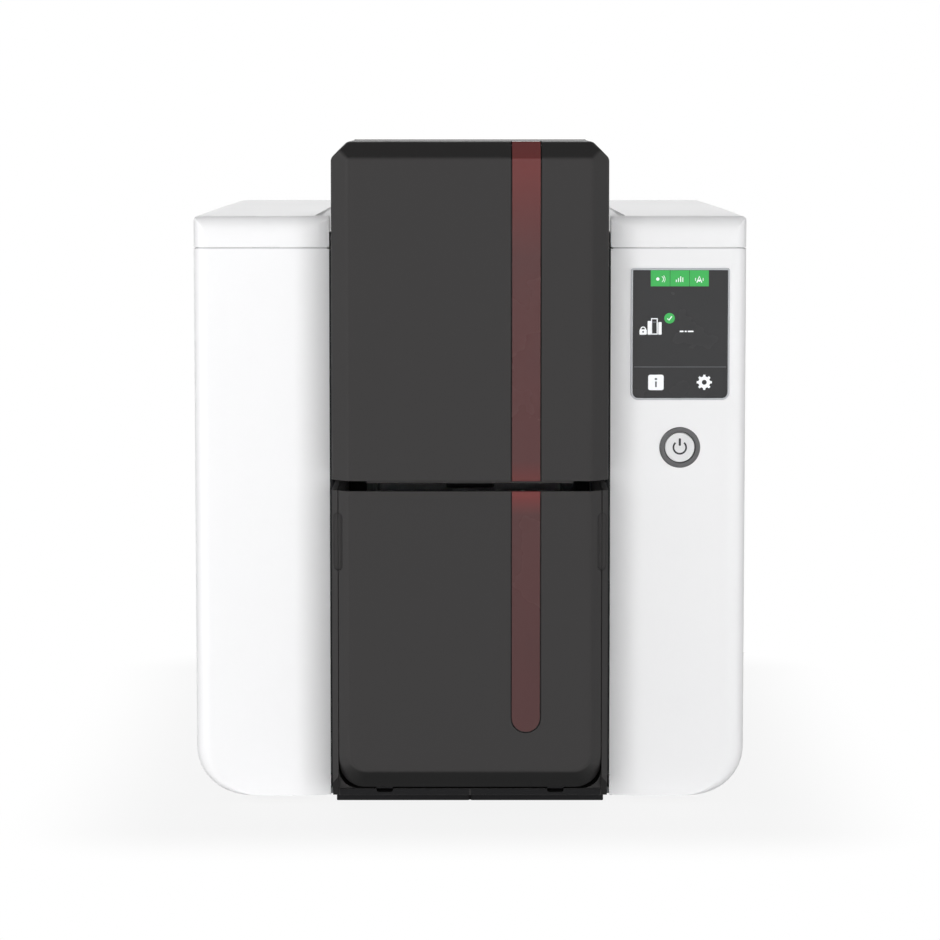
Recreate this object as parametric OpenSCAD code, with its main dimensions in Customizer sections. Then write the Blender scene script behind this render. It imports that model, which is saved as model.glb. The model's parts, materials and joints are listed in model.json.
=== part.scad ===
// Desktop card printer: a white case with a hinged lid and a dark front column,
// which holds the card feeder above and the output hopper below.
// Millimetres. +Z is up, the front faces -Y and +X is on the viewer's right.
// The origin lies on the desk, under the middle of the whole printer.

/* [Case] */
// Width over both side shells
case_w = 205; // [202:1:214]
// Depth from the front of the column to the rear panel
case_d = 381; // [377:1:396]
// How far the front column stands out of the white front
column_out = 50; // [46:1:54]
// Height of the rubber feet under the case
foot_h = 2.5; // [2:0.25:3.5]
// Height of the seam between the side shells and the lid
seam_z = 207; // [205:0.5:210]
// Height of the flat top of the lid over that seam
lid_h = 10.5; // [10:0.25:12]
// Wall of the side shells and the lid
shell_wall = 2.6; // [2.2:0.1:3]
// Radius of the lower long edges of the case
lower_edge_r = 18; // [14:1:20]
// Radius of the upright front edges
front_edge_r = 6; // [4:0.5:8]
// Radius of the lid's long top edges
lid_edge_r = 2; // [1:0.5:4]
// Radius of the roll over the lid's front edge
lid_front_r = 8; // [6:0.5:9]
// How much sooner than at its crown that roll breaks into the top
lid_crease = 1.1; // [0:0.1:1.5]
// Rise of the lid's top from the hinge to the front
lid_rise = 1.6; // [0:0.2:2]
// Width of the roll of each wing towards the column
wing_roll_w = 13; // [8:1:16]
// Depth of that roll
wing_roll_d = 2.2; // [1:0.1:3]
// Open seam under the lid
seam_gap = 0.6; // [0.4:0.1:1]
// Depth of the shells' returns beside the column
return_d = 12; // [8:0.5:16]
// Thickness of the rear panel
panel_t = 3; // [2.5:0.1:3.5]
// Depth of the channel in the lid behind the column
channel_d = 4.5; // [3.5:0.25:5]
// Width of the sloping rim on each side of the channel
rim_w = 5.5; // [4:0.5:7]
// Length of the channel behind the column
channel_run = 174; // [120:2:200]
// Slope of the necks of the lid's hinge posts
post_lean = 18; // [14:1:19]

/* [Front column] */
// Height of the top of the column
column_top = 247; // [244:0.5:252]
// Width of the column
column_w = 99.6; // [98:0.2:101]
// Width of the bevel around the column's front face
bevel = 6; // [4.5:0.25:6.5]
// Gap between the column and the white case on each side
column_gap = 2.35; // [2:0.05:3]
// Height of the lower edge of the feeder door
door_z = 125.7; // [124.5:0.1:126.5]
// Thickness of the dark trim in the white opening
liner_t = 1.4; // [1:0.1:1.6]
// Wall of the feeder door and the output hopper
cover_wall = 2.4; // [2:0.1:2.8]
// Depth of the feeder door's sides
door_depth = 47; // [40:1:47.5]
// Distance of the feeder door's hinge from the column front
door_hinge_back = 87.5; // [86:0.5:92]
// Opening angle of the feeder door
door_open = 75; // [60:1:75]
// Depth of the hinge under the column's top
door_hinge_drop = 8; // [7:0.25:9]
// Height of the upper edge of the output hopper
hopper_top = 122; // [119:0.5:122.5]
// Underside of the output hopper
hopper_z = 13.4; // [12.5:0.1:16]
// Bevel under the output hopper's front
hopper_bevel = 6.9; // [5:0.1:8]
// Radius of the output hopper's lower corners
hopper_corner_r = 7; // [5:0.5:9]
// Depth of the output hopper
hopper_d = 90; // [86:1:94]
// Lower rear part of the hopper's sides
hopper_rear_top = 104; // [90:1:106]
// Width of the cheek on each side of the hopper
cheek_t = 2; // [1.6:0.1:2.2]
// Sliding gap between the hopper and its bay
slide_gap = 0.3; // [0.3:0.05:0.5]
// Floor of the bay under the hopper
bay_floor_t = 2.4; // [2:0.1:3]
// Centre of the window strip
strip_x = 20.1; // [16:0.1:24]
// Width of the window strip
strip_w = 10.2; // [9:0.1:12]
// Thickness of the window strip
strip_t = 1.4; // [1.1:0.1:1.6]
// Dark gap along the window strip
strip_gap = 0.4; // [0.3:0.05:0.6]
// Height of the rounded lower end of the window strip
strip_end_z = 34.8; // [30:0.1:50]
// Middle of the finger notches
notch_z = 103.5; // [96:0.5:106]
// Height of the finger notches
notch_h = 21; // [18:0.5:24]
// Width of the finger notches
notch_w = 3.3; // [3:0.1:4]
// Depth of the finger notches
notch_d = 4; // [3:0.25:5]

/* [Front controls] */
// Shift of the screen from the middle of its wing
screen_shift = 0.525; // [0:0.025:1]
// Width of the screen
screen_w = 35.1; // [34:0.1:36]
// Lower edge of the screen
screen_z = 151.8; // [148:0.1:154]
// Height of the screen
screen_h = 47.4; // [46:0.1:50]
// Thickness of the screen's glass
glass_t = 1.6; // [1.2:0.1:2]
// Width of the pale frame around the screen
frame_w = 0.8; // [0.6:0.1:1.2]
// Shift of the power button from the middle of the screen
button_shift = 0.05; // [-3:0.05:3]
// Height of the power button
button_z = 133.4; // [132:0.1:135]
// Radius of the ring around the power button
ring_r = 7.6; // [7:0.1:8]
// Radius of the power button
button_r = 5.5; // [5:0.1:5.8]
// Travel of the power button
button_travel = 0.8; // [0.5:0.1:1]

/* [Card path] */
// Width of a card
card_w = 54; // [54:0.1:54.2]
// Length of a card
card_l = 85.6; // [85.6:0.1:85.8]
// Thickness of a card
card_t = 0.76; // [0.7:0.02:0.8]
// Side play of the cards in the feeder
card_play = 0.4; // [0.3:0.05:0.6]
// Top of the feeder's floor, over which the cards slide
feed_z = 129; // [128.6:0.1:129.6]
// Thickness of the feeder's floor and the card track
floor_t = 2.4; // [2:0.1:2.6]
// Height of the feeder's card guides
guide_h = 85; // [70:1:88]
// Radius of the pick roller
pick_r = 7; // [6.5:0.1:7.2]
// Radius of the drive rollers and the platen
drive_r = 6; // [5.5:0.1:6.4]
// Radius of the pinch rollers
pinch_r = 5; // [4.5:0.1:5.5]
// Radius of the roller shafts
shaft_r = 3; // [2.5:0.1:3.2]
// Radius of the pinch and cleaning shafts
thin_shaft_r = 2; // [1.6:0.1:2.4]
// Running clearance of every shaft in its bore
fit = 0.05; // [0.03:0.01:0.08]
// Distance of the pick roller from the column front
pick_back = 82.5; // [81.5:0.5:83.5]
// Distance of the front transport rollers from the column front
front_back = 120.5; // [118.5:0.5:121.5]
// Distance of the cleaning roller behind the front transport rollers
clean_back = 18; // [17:0.5:19]
// Distance of the platen from the column front
platen_back = 205.5; // [204:0.5:207]
// Distance of the rear transport rollers behind the platen
rear_back = 80; // [77:0.5:90]
// Radius of the cleaning roller
clean_r = 7; // [6:0.1:7.2]
// Gap kept between two pieces that turn on their own
air = 0.3; // [0.2:0.05:0.4]

/* [Chassis] */
// Inner width between the chassis plates
chassis_w = 80; // [78:0.5:82]
// Thickness of the chassis plates
plate_t = 1.2; // [1:0.1:1.5]
// Distance of the chassis plates from the column front
plate_back = 104.5; // [102.5:0.5:106.5]
// Distance of the chassis plates from the back of the case
plate_short = 40.5; // [36:0.5:46]
// Height of the top of the chassis plates
plate_top = 184; // [182:0.5:186]
// Thickness of the base tray
tray_t = 2.4; // [2:0.1:3]
// Width of the base tray
tray_w = 160; // [150:1:160]

/* [Print unit] */
// Height of the ribbon spools
spool_z = 166; // [165:0.5:167]
// Distance of the take-up spool ahead of the platen
takeup_ahead = 51; // [49:0.5:51]
// Distance of the supply spool behind the platen
supply_back = 47; // [45:0.5:51]
// Radius of the spool flanges
flange_r = 15.5; // [15:0.25:15.8]
// Radius of the full ribbon roll
full_r = 14; // [12:0.25:14.5]
// Radius of the nearly empty ribbon roll
bare_r = 9; // [8.5:0.25:11]
// Radius of the spool journals
journal_r = 5; // [4.5:0.1:5.5]
// Width of the ribbon
ribbon_w = 56; // [54:1:58]
// Width of the heat sink, front to rear
sink_d = 26; // [22:1:27]
// Height of the heat sink
sink_h = 22; // [18:1:24]

/* [Drive] */
// Tooth module of the ribbon gears
gear_m = 0.8; // [0.78:0.01:0.82]
// Teeth of the take-up spool's gear
gear_teeth = 36; // [36:1:36]
// Teeth of the ribbon motor's pinion
pinion_teeth = 12; // [12:1:12]
// Radius of the shaft pulleys
pulley_r = 7; // [6:0.25:7.5]
// Radius of the motor pulley
motor_pulley_r = 5; // [4.5:0.25:6]
// Radius of the pick drive pulleys
pick_pulley_r = 6; // [5:0.25:6]
// Thickness of the drive belts
belt_t = 1.2; // [1:0.1:1.4]
// Width of the drive belts
belt_w = 4.8; // [4:0.1:5]
// Size of the drive motor
motor_size = 42; // [35:1:42]
// Length of the drive motor
motor_l = 34; // [28:1:38]
// Height of the drive motor's shaft
motor_z = 62; // [56:1:70]
// Size of the cooling fan
fan_size = 50; // [40:1:52]
// Depth of the cooling fan
fan_d = 14; // [10:1:15]
// Gap between the cooling fan and the side shell
fan_gap = 6.9; // [5:0.1:9]
// Height of the cooling fan's shaft
fan_z = 95; // [90:1:120]

/* [Hidden] */
$fn = 48;

white = [0.93, 0.93, 0.93];
dark = [0.25, 0.25, 0.25];
black = [0.1, 0.1, 0.1];
steel = [0.72, 0.74, 0.76];
rubber = [0.13, 0.13, 0.14];
window_red = [0.45, 0.12, 0.12];
board_green = [0.1, 0.35, 0.18];
tan_grey = [0.55, 0.55, 0.53];

// cut faces run past the solids by this much
over = 1;

// case
half_w = case_w / 2;
back_y = case_d / 2;
nose_y = -case_d / 2;
white_y = nose_y + column_out;
lid_top = seam_z + lid_h;
lid_front_top = lid_top + lid_rise;
hinge_y = back_y - lid_h;
hinge_z = seam_z;
lobe_gap = 0.45;
skirt_drop = 7.5;
panel_in = back_y - panel_t;
panel_top = hinge_z - skirt_drop - seam_gap;
side_in = half_w - shell_wall;
edge_gap = 0.2;
tray_z = foot_h + tray_t;
tray_half = tray_w / 2;
tray_front = white_y + shell_wall + wing_roll_d + edge_gap;
opening_half = column_w / 2 + column_gap;
wing_steps = 8;
inner_y = white_y + shell_wall;
wing_in = opening_half + shell_wall;
screen_mid_x = (opening_half + half_w) / 2 + screen_shift;
screen_x = screen_mid_x - screen_w / 2;
button_x = screen_mid_x + button_shift;

// column
column_half = column_w / 2;
door_hinge_y = nose_y + door_hinge_back;
door_hinge_z = column_top - door_hinge_drop;
door_skirt_y = nose_y + door_depth;
cap_back = door_hinge_y + door_hinge_drop + air + cover_wall;
lid_notch_y = cap_back + 1.5;
hood_z = lid_top + 1.5;
hopper_half = column_half - cheek_t - slide_gap;
hopper_back = nose_y + hopper_d;
bay_floor_top = hopper_z - 3 * slide_gap;
bay_floor_z = bay_floor_top - bay_floor_t;
bay_back = hopper_back + 2;
pick_y = nose_y + pick_back;
front_y = nose_y + front_back;
clean_y = front_y + clean_back;
platen_y = nose_y + platen_back;
rear_y = platen_y + rear_back;
takeup_y = platen_y - takeup_ahead;
supply_y = platen_y + supply_back;
plate_front = nose_y + plate_back;
plate_rear = back_y - plate_short;
rear_step_y = pick_y - pick_pulley_r - 12;
door_pin_r = 2;
door_boss_r = 4.4;
door_boss_w = 4;
door_lip = 6;
ear_out = column_half - cover_wall - door_boss_w - air;
ear_in = ear_out - 3.6;

// card path
guide_in = card_w / 2 + card_play;
guide_t = 2.4;
path_z = feed_z + card_t / 2;
floor_z = feed_z - floor_t;
shaft_z = feed_z - drive_r;
pick_rise = 0.3;
pick_z = feed_z + pick_rise - pick_r;
pinch_z = path_z + card_t / 2 + pinch_r;
clean_z = path_z + card_t / 2 + air + clean_r;
card_front = cap_back - cover_wall - air - card_l;

// chassis and drive, left side outwards
chassis_half = chassis_w / 2;
plate_out = chassis_half + plate_t;
shaft_end = plate_out + 2;
belt_play = air;
flange_t = 0.8;
pulley_lip = 2;
pulley_x = plate_out + 4;
pulley_w = belt_w + 2 * belt_play + 2 * flange_t;
pick_plane_x = pulley_x + pulley_w + 1;
motor_y = platen_y - 3;
boss_r = 11;

// print unit
head_gap = 1.4;
head_z = feed_z + head_gap;
head_bar_h = 5.2;
sink_z = head_z + head_bar_h;
sink_y0 = platen_y - 9;
sink_y1 = sink_y0 + sink_d;
sink_half = 33;
arm_t = 1.6;
spring_h = 14;
bridge_z = sink_z + sink_h + spring_h;
lid_in_z = lid_top - channel_d - shell_wall;
spool_half = ribbon_w / 2 + 1;
spool_flange_t = 1.6;
gear_r = gear_m * gear_teeth / 2;
pinion_r = gear_m * pinion_teeth / 2;
gear_x = plate_out + 3;
gear_w = 5;
ribbon_motor_y = takeup_y - gear_r - pinion_r;
film_t = 0.3;
film_z = feed_z + card_t + 0.1;
film_y0 = platen_y - 11;
film_y1 = platen_y + 12;

// rear connectors on the main board
board_z = 12;
board_t = 1.6;
board_top = board_z + board_t;
board_x1 = side_in - 5.9;
board_x0 = board_x1 - 40;
board_y0 = back_y - 150.5;
inlet_x = board_x0 + 5;
inlet_z = board_top + 6;
inlet_hole_r = 3.1;
inlet_hole_l = 4.5;
usb_x = inlet_x + 11;
lan_x = usb_x + 15;
fan_x = -(side_in - fan_gap - fan_size / 2);
flap_half = 32;
flap_z0 = 117;
flap_z1 = 140.4;
flap_t = 2.4;
flap_axis_y = back_y - flap_t / 2;
flap_axis_z = flap_z1 - 0.2 - flap_t / 2;
screw_x = half_w - shell_wall - 4;
screw_zs = [40, 165];
post_x0 = side_in - 30.9;
post_x1 = post_x0 + 6;
post_ring_r = 5;
post_back = hinge_y - 14;
post_d = 8;
lid_ear_x0 = post_x1 + 1;
lid_ear_x1 = lid_ear_x0 + 4;
lid_pin_r = 2.5;
feet_x = tray_half - 12;
feet_ys = [white_y + 28.5, back_y - 25.5];
foot_r = 8;

// ---- drawing aids ----

// a box between two corners
module block(x0, x1, y0, y1, z0, z1) {
  translate([x0, y0, z0]) cube([x1 - x0, y1 - y0, z1 - z0]);
}

// the same box on both sides of the middle plane
module twin_block(x0, x1, y0, y1, z0, z1) {
  block(x0, x1, y0, y1, z0, z1);
  block(-x1, -x0, y0, y1, z0, z1);
}

// a drawing in (x, z), extruded from y0 to y1
module along_y(y0, y1) {
  translate([0, y1, 0]) rotate([90, 0, 0]) linear_extrude(height = y1 - y0) children();
}

// a drawing in (y, z), extruded from x0 to x1
module along_x(x0, x1) {
  translate([x0, 0, 0]) rotate([90, 0, 90]) linear_extrude(height = x1 - x0) children();
}

// a drawing in (x, y), extruded from z0 to z1
module along_z(z0, z1) {
  translate([0, 0, z0]) linear_extrude(height = z1 - z0) children();
}

module rod_x(x0, x1, y, z, r) {
  translate([x0, y, z]) rotate([0, 90, 0]) cylinder(r = r, h = x1 - x0);
}

module rod_y(y0, y1, x, z, r) {
  translate([x, y1, z]) rotate([90, 0, 0]) cylinder(r = r, h = y1 - y0);
}

module rod_z(z0, z1, x, y, r) {
  translate([x, y, z0]) cylinder(r = r, h = z1 - z0);
}

// a rectangle between two corners
module rect(u0, u1, v0, v1) {
  translate([u0, v0]) square([u1 - u0, v1 - v0]);
}

// what a rounding of radius r takes off a corner that lies at the origin of (+u, +v) stuff
module corner_waste(r) {
  difference() {
    rect(-over, r, -over, r);
    translate([r, r]) circle(r = r);
  }
}

// a rectangle with four rounded corners
module soft_rect(u0, u1, v0, v1, r) {
  rect(u0 + r, u1 - r, v0, v1);
  rect(u0, u1, v0 + r, v1 - r);
  for (u = [u0 + r, u1 - r], v = [v0 + r, v1 - r]) translate([u, v]) circle(r = r);
}

// an upright slot with round ends
module pill(u, v0, v1, w) {
  rect(u - w / 2, u + w / 2, v0 + w / 2, v1 - w / 2);
  for (v = [v0 + w / 2, v1 - w / 2]) translate([u, v]) circle(d = w);
}

module both_sides() {
  children();
  mirror([1, 0, 0]) children();
}

// ---- white case ----

// plan of one wing: flat front, rolled back towards the column, round outer edge
function roll_point(t, inset) = [
  opening_half + inset + wing_roll_w * (1 - t),
  white_y + inset + wing_roll_d * t * t
];

module wing_plan(inset) {
  out = half_w - inset;
  difference() {
    polygon(concat(
      [[out, back_y + over], [out, white_y + inset]],
      [for (i = [0 : wing_steps]) roll_point(i / wing_steps, inset)],
      [[opening_half + inset, back_y + over]]
    ));
    translate([out, white_y + inset]) mirror([1, 0]) corner_waste(front_edge_r - inset);
  }
}

// section of one side shell, seen from the front
module shell_section(inset) {
  out = half_w - inset;
  difference() {
    rect(opening_half - over, out, foot_h + inset, seam_z + (inset > 0 ? over : 0));
    translate([out, foot_h + inset]) mirror([1, 0]) corner_waste(lower_edge_r - inset);
  }
}

module shell_form(inset) {
  intersection() {
    along_y(white_y - over, back_y + (inset > 0 ? over : 0)) shell_section(inset);
    along_z(0, seam_z + 2 * over) wing_plan(inset);
  }
}

// the right-hand shell without openings; the left one is its mirror image
module side_shell() {
  difference() {
    shell_form(0);
    shell_form(shell_wall);
    // the tray closes the bottom
    block(opening_half - over, tray_half + edge_gap, tray_front - edge_gap, back_y + over,
      foot_h - over, foot_h + shell_wall + over);
    // behind its return the shell is open towards the chassis
    block(opening_half - over, opening_half + 2 * shell_wall, white_y + return_d,
      back_y + over, foot_h - over, seam_z + over);
    // round pocket for the lid's hinge lobe
    rod_x(side_in - over, half_w + over, hinge_y, hinge_z, lid_h + lobe_gap);
    // the base tray runs under the return
    block(opening_half - over, tray_half + edge_gap, tray_front - edge_gap, back_y + over,
      foot_h - over, tray_z + edge_gap);
  }
  // screw bosses behind the rear panel
  for (z = screw_zs) difference() {
    block(screw_x - 3.5, side_in + shell_wall / 2, panel_in - 9, panel_in, z - 4, z + 4);
    rod_y(panel_in - 9 - over, panel_in + over, screw_x, z, 1.5);
  }
}

module left_side_shell() {
  color(white) mirror([1, 0, 0]) side_shell();
}

module right_side_shell() {
  color(white) {
    difference() {
      side_shell();
      block(screen_x - frame_w, screen_x + screen_w + frame_w, white_y - over,
        inner_y + over, screen_z - frame_w, screen_z + screen_h + frame_w);
      rod_y(white_y - over, inner_y + over, button_x, button_z, ring_r);
    }
    // four posts that carry the control board
    for (x = board_post_xs, z = board_post_zs) rod_y(inner_y, control_y, x, z, 2.6);
  }
}

module base_tray() {
  color(tan_grey) {
    difference() {
      block(-tray_half, tray_half, tray_front, panel_in, foot_h, tray_z);
      for (x = [-feet_x, feet_x], y = feet_ys) rod_z(0, tray_z + over, x, y, foot_peg_r);
      for (i = [0 : 7]) block(8, chassis_half - 6, tray_slot_y + i * 12, tray_slot_y + 4 + i * 12,
        foot_h - over, tray_z + over);
    }
    // ribs under the hopper bay
    twin_block(chassis_half - 6, chassis_half - 3, tray_front + 6, bay_back,
      tray_z - tray_t / 2, bay_floor_z);
    // pillars under the main board
    for (x = [tray_half - 17, tray_half - 4], y = [board_y0 + 5, board_y0 + 100])
      rod_z(tray_z - tray_t / 2, board_z, x, y, 3);
  }
}
foot_peg_r = 3;
tray_slot_y = back_y - 140.5;

module rubber_feet() {
  color(rubber) for (x = [-feet_x, feet_x], y = feet_ys) {
    rod_z(0, foot_h, x, y, foot_r);
    rod_z(foot_h, tray_z, x, y, foot_peg_r);
  }
}

module rear_panel() {
  out = side_in - edge_gap;
  z0 = foot_h + shell_wall + edge_gap;
  color(white) difference() {
    along_y(panel_in, back_y) difference() {
      soft_rect(-out, out, z0, panel_top + lower_edge_r, lower_edge_r - shell_wall - edge_gap);
      rect(-half_w, half_w, panel_top, panel_top + 2 * lower_edge_r);
    }
    vent_slots(fan_x, fan_z, fan_size - 6);
    block(-flap_half - air, flap_half + air, panel_in - over, back_y + over,
      flap_z0 - air, flap_z1);
    rod_x(-flap_half - 2, flap_half + 2, flap_axis_y, flap_axis_z, 1 + fit);
    rod_y(panel_in - over, back_y + over, inlet_x, inlet_z, 4.2);
    block(usb_x - 6.2, usb_x + 6.2, panel_in - over, back_y + over, board_top, board_top + 11.4);
    block(lan_x - 8.2, lan_x + 8.2, panel_in - over, back_y + over, board_top, board_top + 13.8);
    // lock slot
    block(screw_x - 16, screw_x - 9, panel_in - over, back_y + over, 58, 61);
    for (x = [-screw_x, screw_x], z = screw_zs) {
      rod_y(panel_in - over, back_y + over, x, z, 1.5);
      rod_y(back_y - 2, back_y + over, x, z, 3);
    }
  }
}

// rows of cooling slots around a centre
module vent_slots(x, z, size) {
  rows = 8;
  step = size / rows;
  for (i = [0 : rows - 1])
    block(x - size / 2, x + size / 2, panel_in - over, back_y + over,
      z - size / 2 + i * step, z - size / 2 + i * step + step / 2);
}

module case_screws() {
  color(steel) for (x = [-screw_x, screw_x], z = screw_zs) {
    rod_y(panel_in - 8, back_y - 2, x, z, 1.5);
    difference() {
      rod_y(back_y - 2, back_y - 0.2, x, z, 3);
      block(x - 2, x + 2, back_y - 0.9, back_y, z - 0.4, z + 0.4);
      block(x - 0.4, x + 0.4, back_y - 0.9, back_y, z - 2, z + 2);
    }
  }
}

// ---- lid ----

// plan of the whole lid: two wings and the middle behind the column
module lid_plan(inset) {
  wing_plan(inset);
  mirror([1, 0]) wing_plan(inset);
  rect(-opening_half - inset - over, opening_half + inset + over, lid_notch_y + inset,
    back_y + over);
}

// height of the lid's inner face, which falls towards the hinge
function lid_ceiling(y) = lid_top - shell_wall + lid_rise * (hinge_y - y) / (hinge_y - white_y);

// section of the lid, seen from the side
module lid_side_section() {
  difference() {
    polygon([[white_y, seam_z + seam_gap], [hinge_y, seam_z + seam_gap], [hinge_y, lid_top],
      [white_y, lid_front_top]]);
    translate([white_y, lid_front_top + lid_crease]) mirror([0, 1]) corner_waste(lid_front_r);
  }
  translate([hinge_y, hinge_z]) circle(r = lid_h);
}

module lid_side_cavity() {
  difference() {
    polygon([[inner_y, seam_z - lid_h - over], [hinge_y, seam_z - lid_h - over],
      [hinge_y, lid_ceiling(hinge_y)], [inner_y, lid_ceiling(inner_y)]]);
    translate([inner_y, lid_front_top + lid_crease - shell_wall]) mirror([0, 1])
      corner_waste(lid_front_r - shell_wall);
  }
  translate([hinge_y, hinge_z]) circle(r = lid_h - shell_wall);
  rect(hinge_y - lid_h - over, hinge_y + lid_h + over, hinge_z - lid_h - over,
    hinge_z - skirt_drop);
}

module channel_section(inset) {
  top = opening_half + rim_w + inset;
  foot = opening_half + 1 + inset;
  z = lid_top - channel_d - inset;
  polygon([[-top, lid_front_top + over], [-top, lid_top], [-foot, z], [foot, z],
    [top, lid_top], [top, lid_front_top + over]]);
}

module top_cover() {
  channel_end = cap_back + channel_run;
  color(white) {
    difference() {
      intersection() {
        along_x(-half_w, half_w) lid_side_section();
        along_z(hinge_z - 2 * lid_h, lid_front_top + over) lid_plan(0);
        along_y(white_y - over, back_y + over) difference() {
          rect(-half_w, half_w, hinge_z - 2 * lid_h, lid_front_top);
          for (turn = [0, 1]) mirror([turn, 0]) translate([-half_w, lid_front_top])
            mirror([0, 1]) corner_waste(lid_edge_r);
        }
      }
      difference() {
        intersection() {
          along_x(-side_in, side_in) lid_side_cavity();
          along_z(hinge_z - 3 * lid_h, lid_top + over) lid_plan(shell_wall);
        }
        along_y(white_y - 2 * over, channel_end + shell_wall) channel_section(shell_wall);
      }
      along_y(white_y + lid_front_r, channel_end) channel_section(0);
    }
    // hinge ears inside the rear edge
    both_sides() difference() {
      along_x(lid_ear_x0, lid_ear_x1) {
        translate([hinge_y, hinge_z]) circle(r = post_ring_r);
        rect(hinge_y - post_ring_r, hinge_y + post_ring_r, hinge_z, lid_top - shell_wall / 2);
      }
      rod_x(lid_ear_x0 - over, lid_ear_x1 + over, hinge_y, hinge_z, lid_pin_r + fit);
    }
  }
}

module lid_latches() {
  color(dark) both_sides() {
    block(latch_x - 5, latch_x + 5, latch_y, latch_y + latch_t, seam_z - 12,
      lid_ceiling(latch_y + latch_t));
    rod_x(latch_x - 5, latch_x + 5, latch_y + latch_t / 2, seam_z - 12, 1.8);
  }
}
latch_x = 76;
latch_y = inner_y + 8;
latch_t = 2.4;

module hinge_posts() {
  color(steel) both_sides() difference() {
    along_x(post_x0, post_x1) {
      rect(post_back - post_d, post_back, tray_z, hinge_z - post_ring_r);
      translate([hinge_y, hinge_z]) circle(r = post_ring_r);
      translate([hinge_y, hinge_z]) rotate(180 + post_lean) rect(0, 20, -2, 2);
    }
    rod_x(post_x0 - over, post_x1 + over, hinge_y, hinge_z, lid_pin_r);
  }
}

module hinge_pins() {
  color(steel) both_sides() {
    rod_x(post_x0, lid_ear_x1 + 1, hinge_y, hinge_z, lid_pin_r);
    rod_x(ear_in, column_half - cover_wall + 1, door_hinge_y, door_hinge_z, door_pin_r);
  }
}

// ---- front column ----

// a beveled column body between two heights, thinner all round by inset
module column_form(half, inset, z0, z1, y1) {
  cut = bevel - inset * (2 - sqrt(2));
  w = half - inset;
  y0 = nose_y + inset;
  t = z1 - inset;
  intersection() {
    along_z(z0, t) polygon([[-w, y1], [-w, y0 + cut], [-w + cut, y0], [w - cut, y0],
      [w, y0 + cut], [w, y1]]);
    along_y(y0, y1) polygon([[-w, z0], [-w, t - cut], [-w + cut, t], [w - cut, t],
      [w, t - cut], [w, z0]]);
    along_x(-w, w) polygon([[y0, z0], [y0, t - cut], [y0 + cut, t], [y1, t], [y1, z0]]);
  }
}

// side outline of the feeder door: deep above the lid, shallow below it
module door_side(inset) {
  rect(nose_y - over, door_skirt_y, door_z - over, column_top + over);
  rect(nose_y - over, door_hinge_y, hood_z, column_top + over);
  translate([door_hinge_y, door_hinge_z]) circle(r = door_hinge_drop - inset);
}

module door_skin(inset) {
  intersection() {
    column_form(column_half, inset, door_z - (inset > 0 ? over : 0), column_top,
      door_hinge_y + door_hinge_drop);
    along_x(-column_half, column_half) door_side(inset);
  }
}

module feeder_door() {
  boss_in = ear_out + air;
  color(dark) difference() {
    union() {
      difference() {
        door_skin(0);
        intersection() {
          door_skin(cover_wall);
          along_x(-column_half, column_half) door_side(cover_wall);
        }
        // the rounded rear edge ends over the fixed cap
        block(-column_half + cover_wall, column_half - cover_wall, door_hinge_y + door_lip,
          door_hinge_y + 2 * door_hinge_drop, hood_z, column_top + over);
        // the inside is open to the rear
        block(-column_half + cover_wall, column_half - cover_wall, door_hinge_y - 6,
          door_hinge_y + door_lip, hood_z - over, door_hinge_z);
      }
      both_sides() rod_x(boss_in, column_half - cover_wall / 2, door_hinge_y, door_hinge_z,
        door_boss_r);
    }
    both_sides() rod_x(boss_in - over, column_half - cover_wall + 1 + fit, door_hinge_y,
      door_hinge_z, door_pin_r + fit);
    door_strip(strip_w + 2 * strip_gap, strip_t);
    block(strip_x - strip_w / 2 + 1, strip_x + strip_w / 2 - 1, nose_y - over,
      nose_y + cover_wall + over, door_z + 3, column_top - bevel - 2);
  }
}

// the outer skin of the door inside the strip's width
module door_strip(w, t) {
  intersection() {
    block(strip_x - w / 2, strip_x + w / 2, nose_y - over, nose_y + bevel + 10, door_z - over,
      column_top + over);
    difference() {
      column_form(column_half, 0, door_z - over, column_top, door_hinge_y);
      column_form(column_half, t, door_z - 2 * over, column_top, door_hinge_y + over);
    }
  }
}

module door_window() {
  color(window_red) intersection() {
    door_strip(strip_w, strip_t);
    block(-half_w, half_w, nose_y - over, nose_y + bevel + 10 - strip_gap, door_z,
      column_top + over);
  }
}

// output hopper: beveled front and underside, open top
module hopper_form(inset) {
  w = hopper_half - inset;
  y0 = nose_y + inset;
  z0 = hopper_z + inset;
  side_cut = bevel - cheek_t - slide_gap - inset * (2 - sqrt(2));
  low_cut = hopper_bevel - inset * (2 - sqrt(2));
  r = hopper_corner_r - inset;
  top = hopper_top + (inset > 0 ? over : 0);
  y1 = hopper_back - inset;
  intersection() {
    along_z(z0 - over, top) polygon([[-w, y1], [-w, y0 + side_cut], [-w + side_cut, y0],
      [w - side_cut, y0], [w, y0 + side_cut], [w, y1]]);
    along_y(y0 - over, y1 + over) difference() {
      rect(-w, w, z0, top);
      translate([-w, z0]) corner_waste(r);
      translate([w, z0]) mirror([1, 0]) corner_waste(r);
    }
    along_x(-w, w) polygon([[y1, z0], [y0 + low_cut, z0], [y0, z0 + low_cut], [y0, top],
      [y1, top]]);
  }
}

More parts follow.
